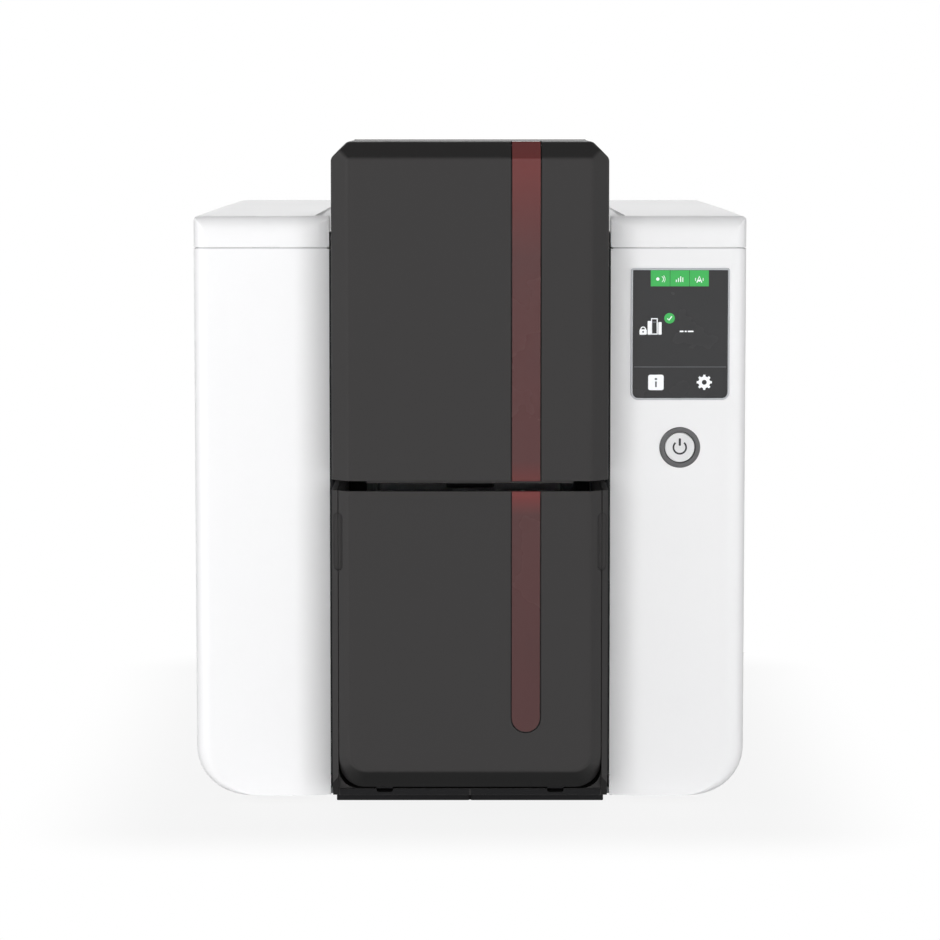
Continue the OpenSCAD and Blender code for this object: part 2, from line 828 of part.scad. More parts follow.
module output_hopper() {
  slope_y = rear_step_y;
  color(dark) {
    difference() {
      hopper_form(0);
      hopper_form(cover_wall);
      // low sides at the rear, under the pick roller
      along_x(-half_w, half_w) polygon([[slope_y - 20, hopper_top + over],
        [slope_y, hopper_rear_top], [hopper_back + over, hopper_rear_top],
        [hopper_back + over, hopper_top + over]]);
      along_y(nose_y - over, nose_y + strip_t) hopper_strip(strip_w + 2 * strip_gap, 0);
      along_y(nose_y - over, nose_y + cover_wall + over) intersection() {
        hopper_strip(strip_w - 2, 2);
        rect(-half_w, half_w, 0, hopper_top - 3);
      }
      finger_notches();
    }
    // two runners under the floor
    twin_block(runner_x, runner_x + 6, nose_y + hopper_bevel + 1, hopper_back - 4,
      hopper_z - 2 * slide_gap, hopper_z);
  }
}
runner_x = 28;

// outline of the window strip on the hopper's face
module hopper_strip(w, rise) {
  bottom = strip_end_z - (w - strip_w) / 2;
  intersection() {
    pill(strip_x, bottom, hopper_top + w, w);
    rect(-half_w, half_w, 0, hopper_top + (w > strip_w ? over : 0) - (rise > 0 ? rise : 0));
  }
}

module hopper_window() {
  color(window_red) along_y(nose_y, nose_y + strip_t) hopper_strip(strip_w, 0);
}

module finger_notches() {
  both_sides() along_y(nose_y - over, nose_y + bevel + notch_d)
    pill(hopper_half, notch_z - notch_h / 2, notch_z + notch_h / 2, notch_w);
}

module hopper_bay() {
  out = column_half;
  color(dark) difference() {
    union() {
      intersection() {
        twin_block(out - cheek_t, out, nose_y + bevel - cheek_t, bay_back, bay_floor_z,
          hopper_top);
        along_z(0, column_top) polygon([[-out, bay_back], [-out, nose_y + bevel],
          [-out + bevel, nose_y], [out - bevel, nose_y], [out, nose_y + bevel],
          [out, bay_back]]);
      }
      block(-out + cheek_t, out - cheek_t, nose_y + hopper_bevel + bay_floor_t, bay_back,
        bay_floor_z, bay_floor_top);
    }
    block(-half_w, half_w, rear_step_y, bay_back + over, hopper_rear_top + 8,
      hopper_top + over);
    finger_notches();
  }
}

module front_plinth() {
  color(black) difference() {
    block(-column_half + 0.3, column_half - 0.3, white_y - 10, tray_front - edge_gap, foot_h,
      bay_floor_z);
    block(-0.3, 0.3, white_y - 10 - over, white_y - 9, foot_h - over, bay_floor_z + over);
  }
}

// dark trim that lines the white opening beside the column
module column_liner() {
  color(black) both_sides() {
    block(opening_half - liner_t, opening_half, white_y + wing_roll_d - 1,
      white_y + return_d + liner_t, bay_floor_z, seam_z);
    block(opening_half, opening_half + shell_wall, white_y + return_d,
      white_y + return_d + liner_t, bay_floor_z, seam_z);
  }
}

// ears for the door's hinge pins, slim behind so that the door's rear edge can pass
module door_ears() {
  both_sides() along_x(ear_in, ear_out) {
    rect(door_hinge_y - 7, door_hinge_y + 0.5, feed_z - floor_t / 2, door_hinge_z);
    translate([door_hinge_y, door_hinge_z]) circle(r = door_boss_r);
  }
}

module feeder_housing() {
  cap_front = door_hinge_y + 0.4;
  cap_half = column_half;
  guide_top = feed_z + guide_h;
  front = nose_y + cover_wall + 1.2;
  rail_y = card_front - 1;
  inside_floor = floor_z + floor_t / 2;
  color(dark) difference() {
    union() {
      // floor and card guides
      along_z(floor_z, feed_z) polygon([[-ear_out, cap_back], [-ear_out, front + bevel],
        [-ear_out + bevel, front], [ear_out - bevel, front], [ear_out, front + bevel],
        [ear_out, cap_back]]);
      twin_block(guide_in, guide_in + guide_t, rail_y, cap_back - cover_wall, inside_floor,
        guide_top);
      // front ledge seen through the gap over the hopper
      block(-ear_out + bevel, ear_out - bevel, front, front + 2, floor_z - 2, inside_floor);
      // rear wall and fixed cap behind the door
      block(-cap_half + cover_wall, cap_half - cover_wall, cap_back - cover_wall, cap_back,
        floor_z, hood_z);
      intersection() {
        along_x(-cap_half, cap_half) difference() {
          rect(cap_front, cap_back, hood_z, column_top);
          translate([door_hinge_y, door_hinge_z]) {
            circle(r = door_hinge_drop + air);
            // room for the door's top when it is open
            rotate(-door_open) rect(-40, 0, 0, door_hinge_drop + air);
          }
          rect(cap_front - over, door_hinge_y + door_lip + air, door_hinge_z,
            column_top + over);
        }
        along_y(cap_front, cap_back) polygon([[-cap_half, hood_z],
          [-cap_half, column_top - bevel], [-cap_half + bevel, column_top],
          [cap_half - bevel, column_top], [cap_half, column_top - bevel], [cap_half, hood_z]]);
      }
      door_ears();
      // flanges on the chassis plates
      twin_block(plate_out, plate_out + 1.9, cap_back - cover_wall, plate_front + 12, floor_z,
        floor_z + 34);
      // ears for the pick shaft
      twin_block(pick_ear_x, pick_ear_x + 3, pick_y - 5, pick_y + 5, pick_z - 5, inside_floor);
    }
    // hollow of the cap
    difference() {
      block(-cap_half + cover_wall, cap_half - cover_wall, cap_front - over,
        cap_back - cover_wall, hood_z - over, column_top - cover_wall);
      door_ears();
    }
    twin_rod(ear_in - over, ear_out + over, door_hinge_y, door_hinge_z, door_pin_r);
    // window for the pick roller, and card slit
    block(-12, 12, pick_y - pick_r - 2, pick_y + pick_r + 2, floor_z - over, feed_z + over);
    block(-guide_in, guide_in, cap_back - cover_wall - over, cap_back + over, feed_z,
      feed_z + 2);
    twin_rod(pick_ear_x - over, pick_ear_x + 3 + over, pick_y, pick_z, shaft_r + fit);
  }
}
pick_ear_x = 33;

module twin_rod(x0, x1, y, z, r) {
  rod_x(x0, x1, y, z, r);
  rod_x(-x1, -x0, y, z, r);
}

// ---- front controls ----

holder_t = 1.4;
control_y = inner_y + 4;
control_t = 1.6;
control_gap = 3.5;
control_x0 = wing_in + control_gap;
control_x1 = side_in - control_gap;
board_post_xs = [control_x0 + 3, control_x1 - 2];
board_post_zs = [screen_z - frame_w - 5, screen_z + screen_h + 4.5];

module display_bezel() {
  color(white) difference() {
    block(screen_x - frame_w, screen_x + screen_w + frame_w, white_y - 0.3,
      white_y + glass_t + holder_t, screen_z - frame_w, screen_z + screen_h + frame_w);
    block(screen_x, screen_x + screen_w, white_y - over, white_y + glass_t, screen_z,
      screen_z + screen_h);
  }
}

module display_glass() {
  color(dark) along_y(white_y - 0.1, white_y + glass_t) difference() {
    rect(screen_x, screen_x + screen_w, screen_z, screen_z + screen_h);
    translate([screen_x, screen_z]) corner_waste(2);
    translate([screen_x + screen_w, screen_z]) mirror([1, 0]) corner_waste(2);
  }
}

module control_board() {
  low = button_z - 9;
  high = screen_z + screen_h + 7;
  color(board_green) {
    block(control_x0, control_x1, control_y, control_y + control_t, low, high);
    // spacer behind the screen
    block(screen_x + 4, screen_x + screen_w - 4, white_y + glass_t + holder_t, control_y,
      screen_z + 4, screen_z + screen_h - 4);
    // switch behind the power button
    block(button_x - 3, button_x + 3, control_y - 1.2, control_y, button_z - 3, button_z + 3);
    // chips on the rear
    block(screen_mid_x - 7, screen_mid_x + 7, control_y + control_t,
      control_y + control_t + 1.4, screen_z + 8, screen_z + 22);
    block(screen_mid_x - 10, screen_mid_x + 10, control_y + control_t,
      control_y + control_t + 5, screen_z - 12, screen_z - 7);
  }
}

module button_ring() {
  color(tan_grey) difference() {
    rod_y(white_y - 0.5, inner_y, button_x, button_z, ring_r);
    rod_y(white_y - 0.5 - over, inner_y + over, button_x, button_z, button_r + 0.15);
  }
}

module power_button() {
  color(white) {
    rod_y(white_y - 0.3, inner_y - 0.2, button_x, button_z, button_r);
    rod_y(inner_y - 0.2, control_y - 1.2 - button_travel - 0.1, button_x, button_z, 2.5);
  }
}

// ---- chassis ----

// side outline of a chassis plate
module plate_section() {
  difference() {
    polygon([[plate_front, tray_z], [plate_rear, tray_z], [plate_rear, plate_top - 20],
      [plate_rear - 20, plate_top], [plate_front + 24, plate_top],
      [plate_front, floor_z + 36]]);
    soft_rect(plate_front + 16, platen_y - motor_size / 2 - 14, 24, 96, 5);
    soft_rect(platen_y + motor_size / 2 + 8, plate_rear - 16, 24, 96, 5);
  }
}

module plate_bores(x0, x1) {
  for (y = [front_y, platen_y, rear_y]) rod_x(x0, x1, y, shaft_z, shaft_r + fit);
  for (y = [front_y, rear_y]) rod_x(x0, x1, y, pinch_z, thin_shaft_r + fit);
  for (y = [takeup_y, supply_y]) rod_x(x0, x1, y, spool_z, journal_r + fit);
}

module chassis_right_plate() {
  color(steel) {
    difference() {
      along_x(chassis_half, plate_out) plate_section();
      plate_bores(chassis_half - over, plate_out + over);
    }
    block(plate_out, plate_out + 8, plate_front, plate_rear, tray_z, tray_z + plate_t);
  }
}

module chassis_left_plate() {
  color(steel) {
    difference() {
      along_x(-plate_out, -chassis_half) plate_section();
      plate_bores(-plate_out - over, -chassis_half + over);
      rod_x(-plate_out - over, -chassis_half + over, motor_y, motor_z, boss_r);
    }
    block(-plate_out - 8, -plate_out, plate_front, plate_rear, tray_z, tray_z + plate_t);
  }
}

module cross_bars() {
  color(steel) for (p = cross_bar_places) rod_x(-chassis_half, chassis_half, p[0], p[1], 3);
}
cross_bar_places = [[plate_front + 8, 16], [plate_rear - 8, 16],
  [plate_rear - 8, plate_top - 40]];

module card_track() {
  color(dark) difference() {
    block(-chassis_half, chassis_half, plate_front + 1, plate_rear - 6, floor_z, feed_z);
    for (y = [front_y, rear_y])
      twin_block(roller_x - roller_w / 2 - 1, roller_x + roller_w / 2 + 1, y - drive_r - 1,
        y + drive_r + 1, floor_z - over, feed_z + over);
    block(-platen_half - 1, platen_half + 1, platen_y - drive_r - 1, platen_y + drive_r + 1,
      floor_z - over, feed_z + over);
    // cooling cut-outs between the rollers
    twin_block(6, 26, platen_y + 22, rear_y - 18, floor_z - over, feed_z + over);
    twin_block(6, 26, front_y + 32, platen_y - 18, floor_z - over, feed_z + over);
  }
}
roller_x = 15;
roller_w = 12;
platen_half = 30;

// ---- card feeding ----

module card_pusher() {
  z0 = feed_z + pick_rise + 0.5;
  x1 = guide_in - 0.5;
  color(dark) difference() {
    union() {
      block(-x1, x1, card_front, card_front + card_l - 1, z0, z0 + 7);
      block(-12, 12, card_front + 8, card_front + 12, z0 + 7, z0 + 16);
    }
    for (y = [card_front + 16, card_front + 50]) block(-x1 + 3, x1 - 3, y, y + 26, z0 + 2,
      z0 + 7 + over);
  }
}

module gauge_slider() {
  y0 = cap_back + air;
  color(steel) {
    block(-14, 14, y0, y0 + 1.2, feed_z + 3, feed_z + 18);
    block(-3, 3, y0 + 1.2, y0 + 4.2, feed_z + 8, feed_z + 16);
  }
}

module pick_shaft() {
  color(steel) rod_x(-pick_plane_x - pulley_w, pick_ear_x + 5, pick_y, pick_z, shaft_r);
  color(dark) pulley(pick_plane_x, pick_y, pick_z, pick_pulley_r);
}

module pick_roller() {
  color(rubber) difference() {
    rod_x(-9, 9, pick_y, pick_z, pick_r);
    rod_x(-9 - over, 9 + over, pick_y, pick_z, shaft_r);
  }
}

// a flanged belt pulley that starts x outside the left plate
module pulley(x, y, z, r) {
  rod_x(-x - pulley_w, -x, y, z, r);
  rod_x(-x - flange_t, -x, y, z, r + pulley_lip);
  rod_x(-x - pulley_w, -x - pulley_w + flange_t, y, z, r + pulley_lip);
}

// a steel shaft between the plates with its pulley outside the left one
module drive_shaft(y, left_end) {
  color(steel) rod_x(-left_end, shaft_end, y, shaft_z, shaft_r);
  color(dark) pulley(pulley_x, y, shaft_z, pulley_r);
}

module front_shaft() {
  drive_shaft(front_y, pick_plane_x + pulley_w);
  color(dark) pulley(pick_plane_x, front_y, shaft_z, pick_pulley_r);
}

module platen_shaft() {
  drive_shaft(platen_y, pulley_x + pulley_w);
}

module rear_shaft() {
  drive_shaft(rear_y, pulley_x + pulley_w);
}

// a rubber sleeve on a drive shaft
module sleeve(x0, x1, y) {
  difference() {
    rod_x(x0, x1, y, shaft_z, drive_r);
    rod_x(x0 - over, x1 + over, y, shaft_z, shaft_r);
  }
}

module front_rollers() {
  color(rubber) both_sides() sleeve(roller_x - roller_w / 2, roller_x + roller_w / 2, front_y);
}

module rear_rollers() {
  color(rubber) both_sides() sleeve(roller_x - roller_w / 2, roller_x + roller_w / 2, rear_y);
}

module platen_roller() {
  color(rubber) sleeve(-platen_half, platen_half, platen_y);
}

module pinch_unit(y) {
  rod_x(-shaft_end, shaft_end, y, pinch_z, thin_shaft_r);
  both_sides() rod_x(roller_x - roller_w / 2, roller_x + roller_w / 2, y, pinch_z, pinch_r);
}

module front_pinch() {
  color(tan_grey) pinch_unit(front_y);
}

module rear_pinch() {
  color(tan_grey) pinch_unit(rear_y);
}

module cleaning_roller() {
  color("lightskyblue") {
    rod_x(-clean_half, clean_half, clean_y, clean_z, clean_r);
    rod_x(-clean_half - 4, clean_half + 4, clean_y, clean_z, thin_shaft_r);
  }
}
clean_half = 28;

module cleaning_frame() {
  top = clean_z + clean_r + 2.6;
  in = clean_half + 1;
  color(dark) difference() {
    union() {
      twin_block(in, in + 2.4, clean_y - 8.5, clean_y + 8.5, clean_z - 5, top);
      block(-chassis_half, chassis_half, clean_y - 8.5, clean_y + 8.5, top - 1.6, top);
    }
    twin_rod(in - over, in + 2.4 + over, clean_y, clean_z, thin_shaft_r + fit);
  }
}

// ---- print unit ----

module spool(y, roll_r, left_end) {
  rod_x(-left_end, shaft_end, y, spool_z, journal_r);
  rod_x(-spool_half, spool_half, y, spool_z, journal_r + 2.5);
  rod_x(-ribbon_w / 2, ribbon_w / 2, y, spool_z, roll_r);
  both_sides() rod_x(spool_half, spool_half + spool_flange_t, y, spool_z, flange_r);
}

module supply_spool() {
  color(black) spool(supply_y, full_r, shaft_end);
}

module takeup_spool() {
  color(black) {
    spool(takeup_y, bare_r, gear_x + gear_w);
    along_x(-gear_x - gear_w, -gear_x) translate([takeup_y, spool_z]) gear_outline(gear_teeth);
  }
}

// straight-flanked teeth; a tooth points along +u and, with an even count, along -u
function tooth_half(r, pitch_r) = (0.68 * gear_m - (r - pitch_r) * tan(20)) / r * 180 / PI;

function tooth_points(n, i) =
  let (pr = gear_m * n / 2, tip = pr + 0.85 * gear_m, root = pr - 1.1 * gear_m, a = i * 360 / n)
  [for (q = [[root, -1], [tip, -1], [tip, 1], [root, 1]])
    let (b = a + q[1] * tooth_half(q[0], pr)) [q[0] * cos(b), q[0] * sin(b)]];

module gear_outline(n) {
  polygon([for (i = [0 : n - 1]) each tooth_points(n, i)]);
}

module ribbon_pinion() {
  color("goldenrod") difference() {
    along_x(-gear_x - gear_w, -gear_x) translate([ribbon_motor_y, spool_z])
      rotate(180 / pinion_teeth) gear_outline(pinion_teeth);
    rod_x(-gear_x - gear_w - over, -gear_x + over, ribbon_motor_y, spool_z, 1.5 + fit);
  }
}

module ribbon_motor() {
  x0 = gear_x + gear_w + 1.5;
  color(steel) {
    rod_x(-x0 - 22, -x0, ribbon_motor_y, spool_z, 11);
    rod_x(-x0, -gear_x + 1, ribbon_motor_y, spool_z, 1.5);
    for (z = [-6.5, 6.5]) rod_x(-x0, -plate_out, ribbon_motor_y - 8, spool_z + z, 1.5);
  }
}

// where a straight run from (y, z) touches a roll, on its lower side
function touch(y, z, cy, cz, r, side) =
  let (dy = cy - y, dz = cz - z, d = norm([dy, dz]), a = atan2(dz, dy) - side * asin(r / d),
    l = sqrt(d * d - r * r))
  [y + l * cos(a), z + l * sin(a)];

module ribbon_film() {
  s = touch(film_y1, film_z, supply_y, spool_z, full_r + air + film_t, 1);
  t = touch(film_y0, film_z, takeup_y, spool_z, bare_r + air + film_t, -1);
  color(black) along_x(-ribbon_w / 2, ribbon_w / 2) polygon([
    s, [film_y1, film_z], [film_y0, film_z], t, [t[0], t[1] + film_t],
    [film_y0, film_z + film_t], [film_y1, film_z + film_t], [s[0], s[1] + film_t]
  ]);
}

module print_head() {
  color(tan_grey) {
    block(-sink_half + 1, sink_half - 1, platen_y - 4, platen_y + 4, head_z, sink_z);
    block(-sink_half + 1, sink_half - 1, sink_y0, sink_y1, sink_z - 1.6, sink_z);
  }
}

module heat_sink() {
  fins = 7;
  step = (sink_d - 2) / (fins - 1);
  color(steel) {
    block(-sink_half, sink_half, sink_y0, sink_y1, sink_z, sink_z + 4);
    for (i = [0 : fins - 1])
      block(-sink_half, sink_half, sink_y0 + i * step, sink_y0 + i * step + 2, sink_z + 4,
        sink_z + sink_h);
  }
}

module head_bracket() {
  arm = sink_half + 0.4;
  color(steel) {
    twin_block(arm, arm + arm_t, sink_y0 + 2, sink_y1 - 2, sink_z + 6, lid_in_z);
    block(-arm, arm, sink_y0 + 2, sink_y1 - 2, bridge_z, bridge_z + arm_t);
    block(-arm, arm, sink_y0 + 2, sink_y1 - 2, lid_in_z - arm_t, lid_in_z);
  }
}

// closed helix tube between two heights
module coil_spring(x, y, z0, z1, r, wire, turns) {
  steps = 12;
  sides = 6;
  rings = turns * steps;
  rise = (z1 - z0 - 2 * wire) / rings;
  points = [for (i = [0 : rings], j = [0 : sides - 1])
    let (a = i * 360 / steps, b = j * 360 / sides, q = r + wire * cos(b))
    [x + q * cos(a), y + q * sin(a), z0 + wire + i * rise + wire * sin(b)]];
  ends = [[for (j = [0 : sides - 1]) j], [for (j = [0 : sides - 1]) rings * sides + sides - 1 - j]];
  skin = [for (i = [0 : rings - 1], j = [0 : sides - 1])
    let (k = (j + 1) % sides)
    [i * sides + j, (i + 1) * sides + j, (i + 1) * sides + k, i * sides + k]];
  polyhedron(points = points, faces = concat(ends, skin));
}

module head_springs() {
  color(steel) both_sides()
    coil_spring(20, (sink_y0 + sink_y1) / 2, sink_z + sink_h, bridge_z, 4, 0.6, 5);
}

// ---- drives ----

module drive_motor() {
  half = motor_size / 2;
  color(black) {
    along_x(-chassis_half, -chassis_half + motor_l)
      soft_rect(motor_y - half, motor_y + half, motor_z - half, motor_z + half, 4);
    rod_x(-plate_out, -chassis_half, motor_y, motor_z, boss_r);
    rod_x(-pulley_x - pulley_w, -plate_out, motor_y, motor_z, 2.5);
  }
}

module motor_pulley() {
  color(tan_grey) difference() {
    pulley(pulley_x, motor_y, motor_z, motor_pulley_r);
    rod_x(-pulley_x - pulley_w - over, -pulley_x + over, motor_y, motor_z, 2.5 + fit);
  }
}

// loop around three round places: [y, z, radius]
module loop_outline(places, grow) {
  hull() for (p = places) translate([p[0], p[1]]) circle(r = p[2] + grow, $fn = 32);
}

module belt(x, places) {
  along_x(-x - flange_t - belt_play - belt_w, -x - flange_t - belt_play) difference() {
    loop_outline(places, air + belt_t);
    loop_outline(places, air);
  }
}

module drive_belts() {
  color(rubber) {
    belt(pulley_x, [[front_y, shaft_z, pulley_r], [rear_y, shaft_z, pulley_r],
      [motor_y, motor_z, motor_pulley_r]]);
    belt(pick_plane_x, [[front_y, shaft_z, pick_pulley_r], [pick_y, pick_z, pick_pulley_r]]);
  }
}

// ---- electronics ----

module main_board() {
  color(board_green) {
    difference() {
      block(board_x0, board_x1, board_y0, panel_in - 1, board_z, board_top);
      block(post_x0 - 1, post_x1 + 1, post_back - post_d - 1, post_back + 1, board_z - over,
        board_top + over);
    }
    for (i = [0 : 3]) rod_z(board_top, board_top + 11, board_x0 + 6 + i * 9, board_y0 + 10, 3.6);
    block(board_x0 + 8, board_x0 + 26, board_y0 + 30, board_y0 + 48, board_top, board_top + 1.6);
    block(board_x0 + 4, board_x0 + 30, board_y0 + 64, board_y0 + 70, board_top, board_top + 8);
    block(board_x0 + 12, board_x0 + 22, board_y0 + 84, board_y0 + 94, board_top,
      board_top + 1.6);
  }
}

module power_inlet() {
  color(black) difference() {
    union() {
      block(inlet_x - 4.5, inlet_x + 4.5, panel_in - 14, panel_in, board_top, board_top + 11);
      rod_y(panel_in, back_y, inlet_x, inlet_z, 4.1);
    }
    rod_y(back_y - inlet_hole_l - over, back_y + over, inlet_x, inlet_z, inlet_hole_r);
    // wider chamber behind the mouth, with the recessed contact pin
    difference() {
      rod_y(panel_in - 9, back_y - inlet_hole_l, inlet_x, inlet_z, inlet_hole_r + 0.4);
      rod_y(panel_in - 10, back_y - inlet_hole_l - 0.6, inlet_x, inlet_z, 1);
    }
  }
}

module data_ports() {
  color(steel) {
    difference() {
      block(usb_x - 6, usb_x + 6, panel_in - 14, back_y, board_top, board_top + 11.2);
      block(usb_x - 4.6, usb_x + 4.6, back_y - 9, back_y + over, board_top + 1.4,
        board_top + 9.8);
    }
    difference() {
      block(lan_x - 8, lan_x + 8, panel_in - 18, back_y, board_top, board_top + 13.6);
      block(lan_x - 6.4, lan_x + 6.4, back_y - 12, back_y + over, board_top + 2,
        board_top + 10.5);
    }
  }
}

module fan_housing() {
  half = fan_size / 2;
  y0 = panel_in - fan_d;
  color(black) difference() {
    along_y(y0, panel_in) soft_rect(fan_x - half, fan_x + half, fan_z - half, fan_z + half, 4);
    rod_y(y0 - over, panel_in - 2, fan_x, fan_z, half - 2);
    difference() {
      rod_y(panel_in - 3, panel_in + over, fan_x, fan_z, half - 2);
      rod_y(panel_in - 4, panel_in + 2 * over, fan_x, fan_z, 9);
      for (a = [0, 90]) translate([fan_x, 0, fan_z]) rotate([0, a, 0])
        block(-half, half, panel_in - 4, panel_in + 2 * over, -1.2, 1.2);
    }
  }
  color(steel) rod_y(y0 + 1.5, panel_in - 2, fan_x, fan_z, fan_pin_r);
}
fan_pin_r = 1.5;

module fan_rotor() {
  y0 = panel_in - fan_d;
  hub_r = 9;
  color(dark) difference() {
    union() {
      rod_y(y0 + 1, panel_in - 2.6, fan_x, fan_z, hub_r);
      intersection() {
        rod_y(y0 + 1, panel_in - 3, fan_x, fan_z, fan_size / 2 - 3);
        for (i = [0 : 6]) translate([fan_x, (y0 + panel_in) / 2 - 1, fan_z])
          rotate([0, i * 360 / 7, 0]) rotate([38, 0, 0])
            block(hub_r - 1, fan_size / 2, -8, 8, -0.6, 0.6);
      }
    }
    rod_y(y0 + 1 - over, panel_in - 2.6 + over, fan_x, fan_z, fan_pin_r + fit);
  }
}

module rear_flap() {
  color(white) {
    along_x(-flap_half, flap_half) {
      rect(flap_axis_y - flap_t / 2, flap_axis_y + flap_t / 2, flap_z0, flap_axis_z);
      translate([flap_axis_y, flap_axis_z]) circle(r = flap_t / 2);
    }
    twin_rod(flap_half - over, flap_half + 1.8, flap_axis_y, flap_axis_z, 1);
  }
}

base_tray();
rubber_feet();
left_side_shell();
right_side_shell();
rear_panel();
column_liner();
hopper_bay();
front_plinth();
feeder_housing();
display_bezel();
display_glass();
control_board();
button_ring();
chassis_left_plate();
chassis_right_plate();
cross_bars();
card_track();
hinge_posts();
hinge_pins();
ribbon_film();
drive_motor();
drive_belts();
ribbon_motor();
main_board();
power_inlet();
data_ports();
fan_housing();
cleaning_frame();
case_screws();
top_cover();
head_bracket();
heat_sink();
print_head();
head_springs();
lid_latches();
feeder_door();
door_window();
output_hopper();
hopper_window();
power_button();
card_pusher();
gauge_slider();
pick_shaft();
pick_roller();
front_shaft();
front_rollers();
platen_shaft();
platen_roller();
rear_shaft();
rear_rollers();
front_pinch();
rear_pinch();
cleaning_roller();
supply_spool();
takeup_spool();
motor_pulley();
ribbon_pinion();
fan_rotor();
rear_flap();
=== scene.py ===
"""Looks of a desktop card printer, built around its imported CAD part.

Metres. +Z is up, the front faces -Y, and the origin lies on the desk.
"""

import json
import logging
import math
from collections.abc import Sequence
from dataclasses import dataclass
from enum import Enum

import bmesh
import bpy
from mathutils import Matrix, Vector

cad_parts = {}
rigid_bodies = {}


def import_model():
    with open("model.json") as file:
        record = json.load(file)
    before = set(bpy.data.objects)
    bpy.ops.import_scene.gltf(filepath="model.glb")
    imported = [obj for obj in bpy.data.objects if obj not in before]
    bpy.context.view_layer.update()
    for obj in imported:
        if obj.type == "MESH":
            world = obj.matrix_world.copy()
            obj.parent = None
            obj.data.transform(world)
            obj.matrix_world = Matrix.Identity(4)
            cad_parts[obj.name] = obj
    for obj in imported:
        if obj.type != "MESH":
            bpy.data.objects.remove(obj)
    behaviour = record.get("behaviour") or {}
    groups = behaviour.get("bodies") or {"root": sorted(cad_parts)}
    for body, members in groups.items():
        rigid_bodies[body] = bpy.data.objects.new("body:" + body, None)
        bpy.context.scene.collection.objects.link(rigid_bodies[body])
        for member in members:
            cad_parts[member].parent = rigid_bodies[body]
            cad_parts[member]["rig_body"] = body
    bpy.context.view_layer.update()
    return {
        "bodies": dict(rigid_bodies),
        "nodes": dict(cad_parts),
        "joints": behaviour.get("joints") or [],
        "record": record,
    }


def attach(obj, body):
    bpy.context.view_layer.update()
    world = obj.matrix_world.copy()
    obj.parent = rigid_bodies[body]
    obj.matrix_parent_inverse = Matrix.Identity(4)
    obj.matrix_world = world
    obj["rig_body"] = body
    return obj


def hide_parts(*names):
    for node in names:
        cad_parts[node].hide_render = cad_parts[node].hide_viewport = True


log = logging.getLogger("card_printer")

MM = 0.001
# how far cutting tools run past the solid that they cut
OVER = 1 * MM
# half length of the tools that cut right across the column
SPAN = 60 * MM

Flat = tuple[float, float]
Point = tuple[float, float, float]
Colour = tuple[float, float, float, float]
Node = bpy.types.ShaderNode
Socket = bpy.types.NodeSocket


# ---------------------------------------------------------------- mesh tools


class Axis(Enum):
    """The direction along which a drawing is drawn out."""

    X = "x"
    Y = "y"
    Z = "z"

    def place(self, u: float, v: float, w: float) -> Vector:
        """Puts a drawing's point into space.

        Args:
            u: First coordinate of the drawing: y for X, x for Y and Z.
            v: Second coordinate of the drawing: z for X and Y, y for Z.
            w: Place along the axis.

        Returns:
            The point in the row frame.
        """
        if self is Axis.X:
            return Vector((w, u, v))
        if self is Axis.Y:
            return Vector((u, w, v))
        return Vector((u, v, w))


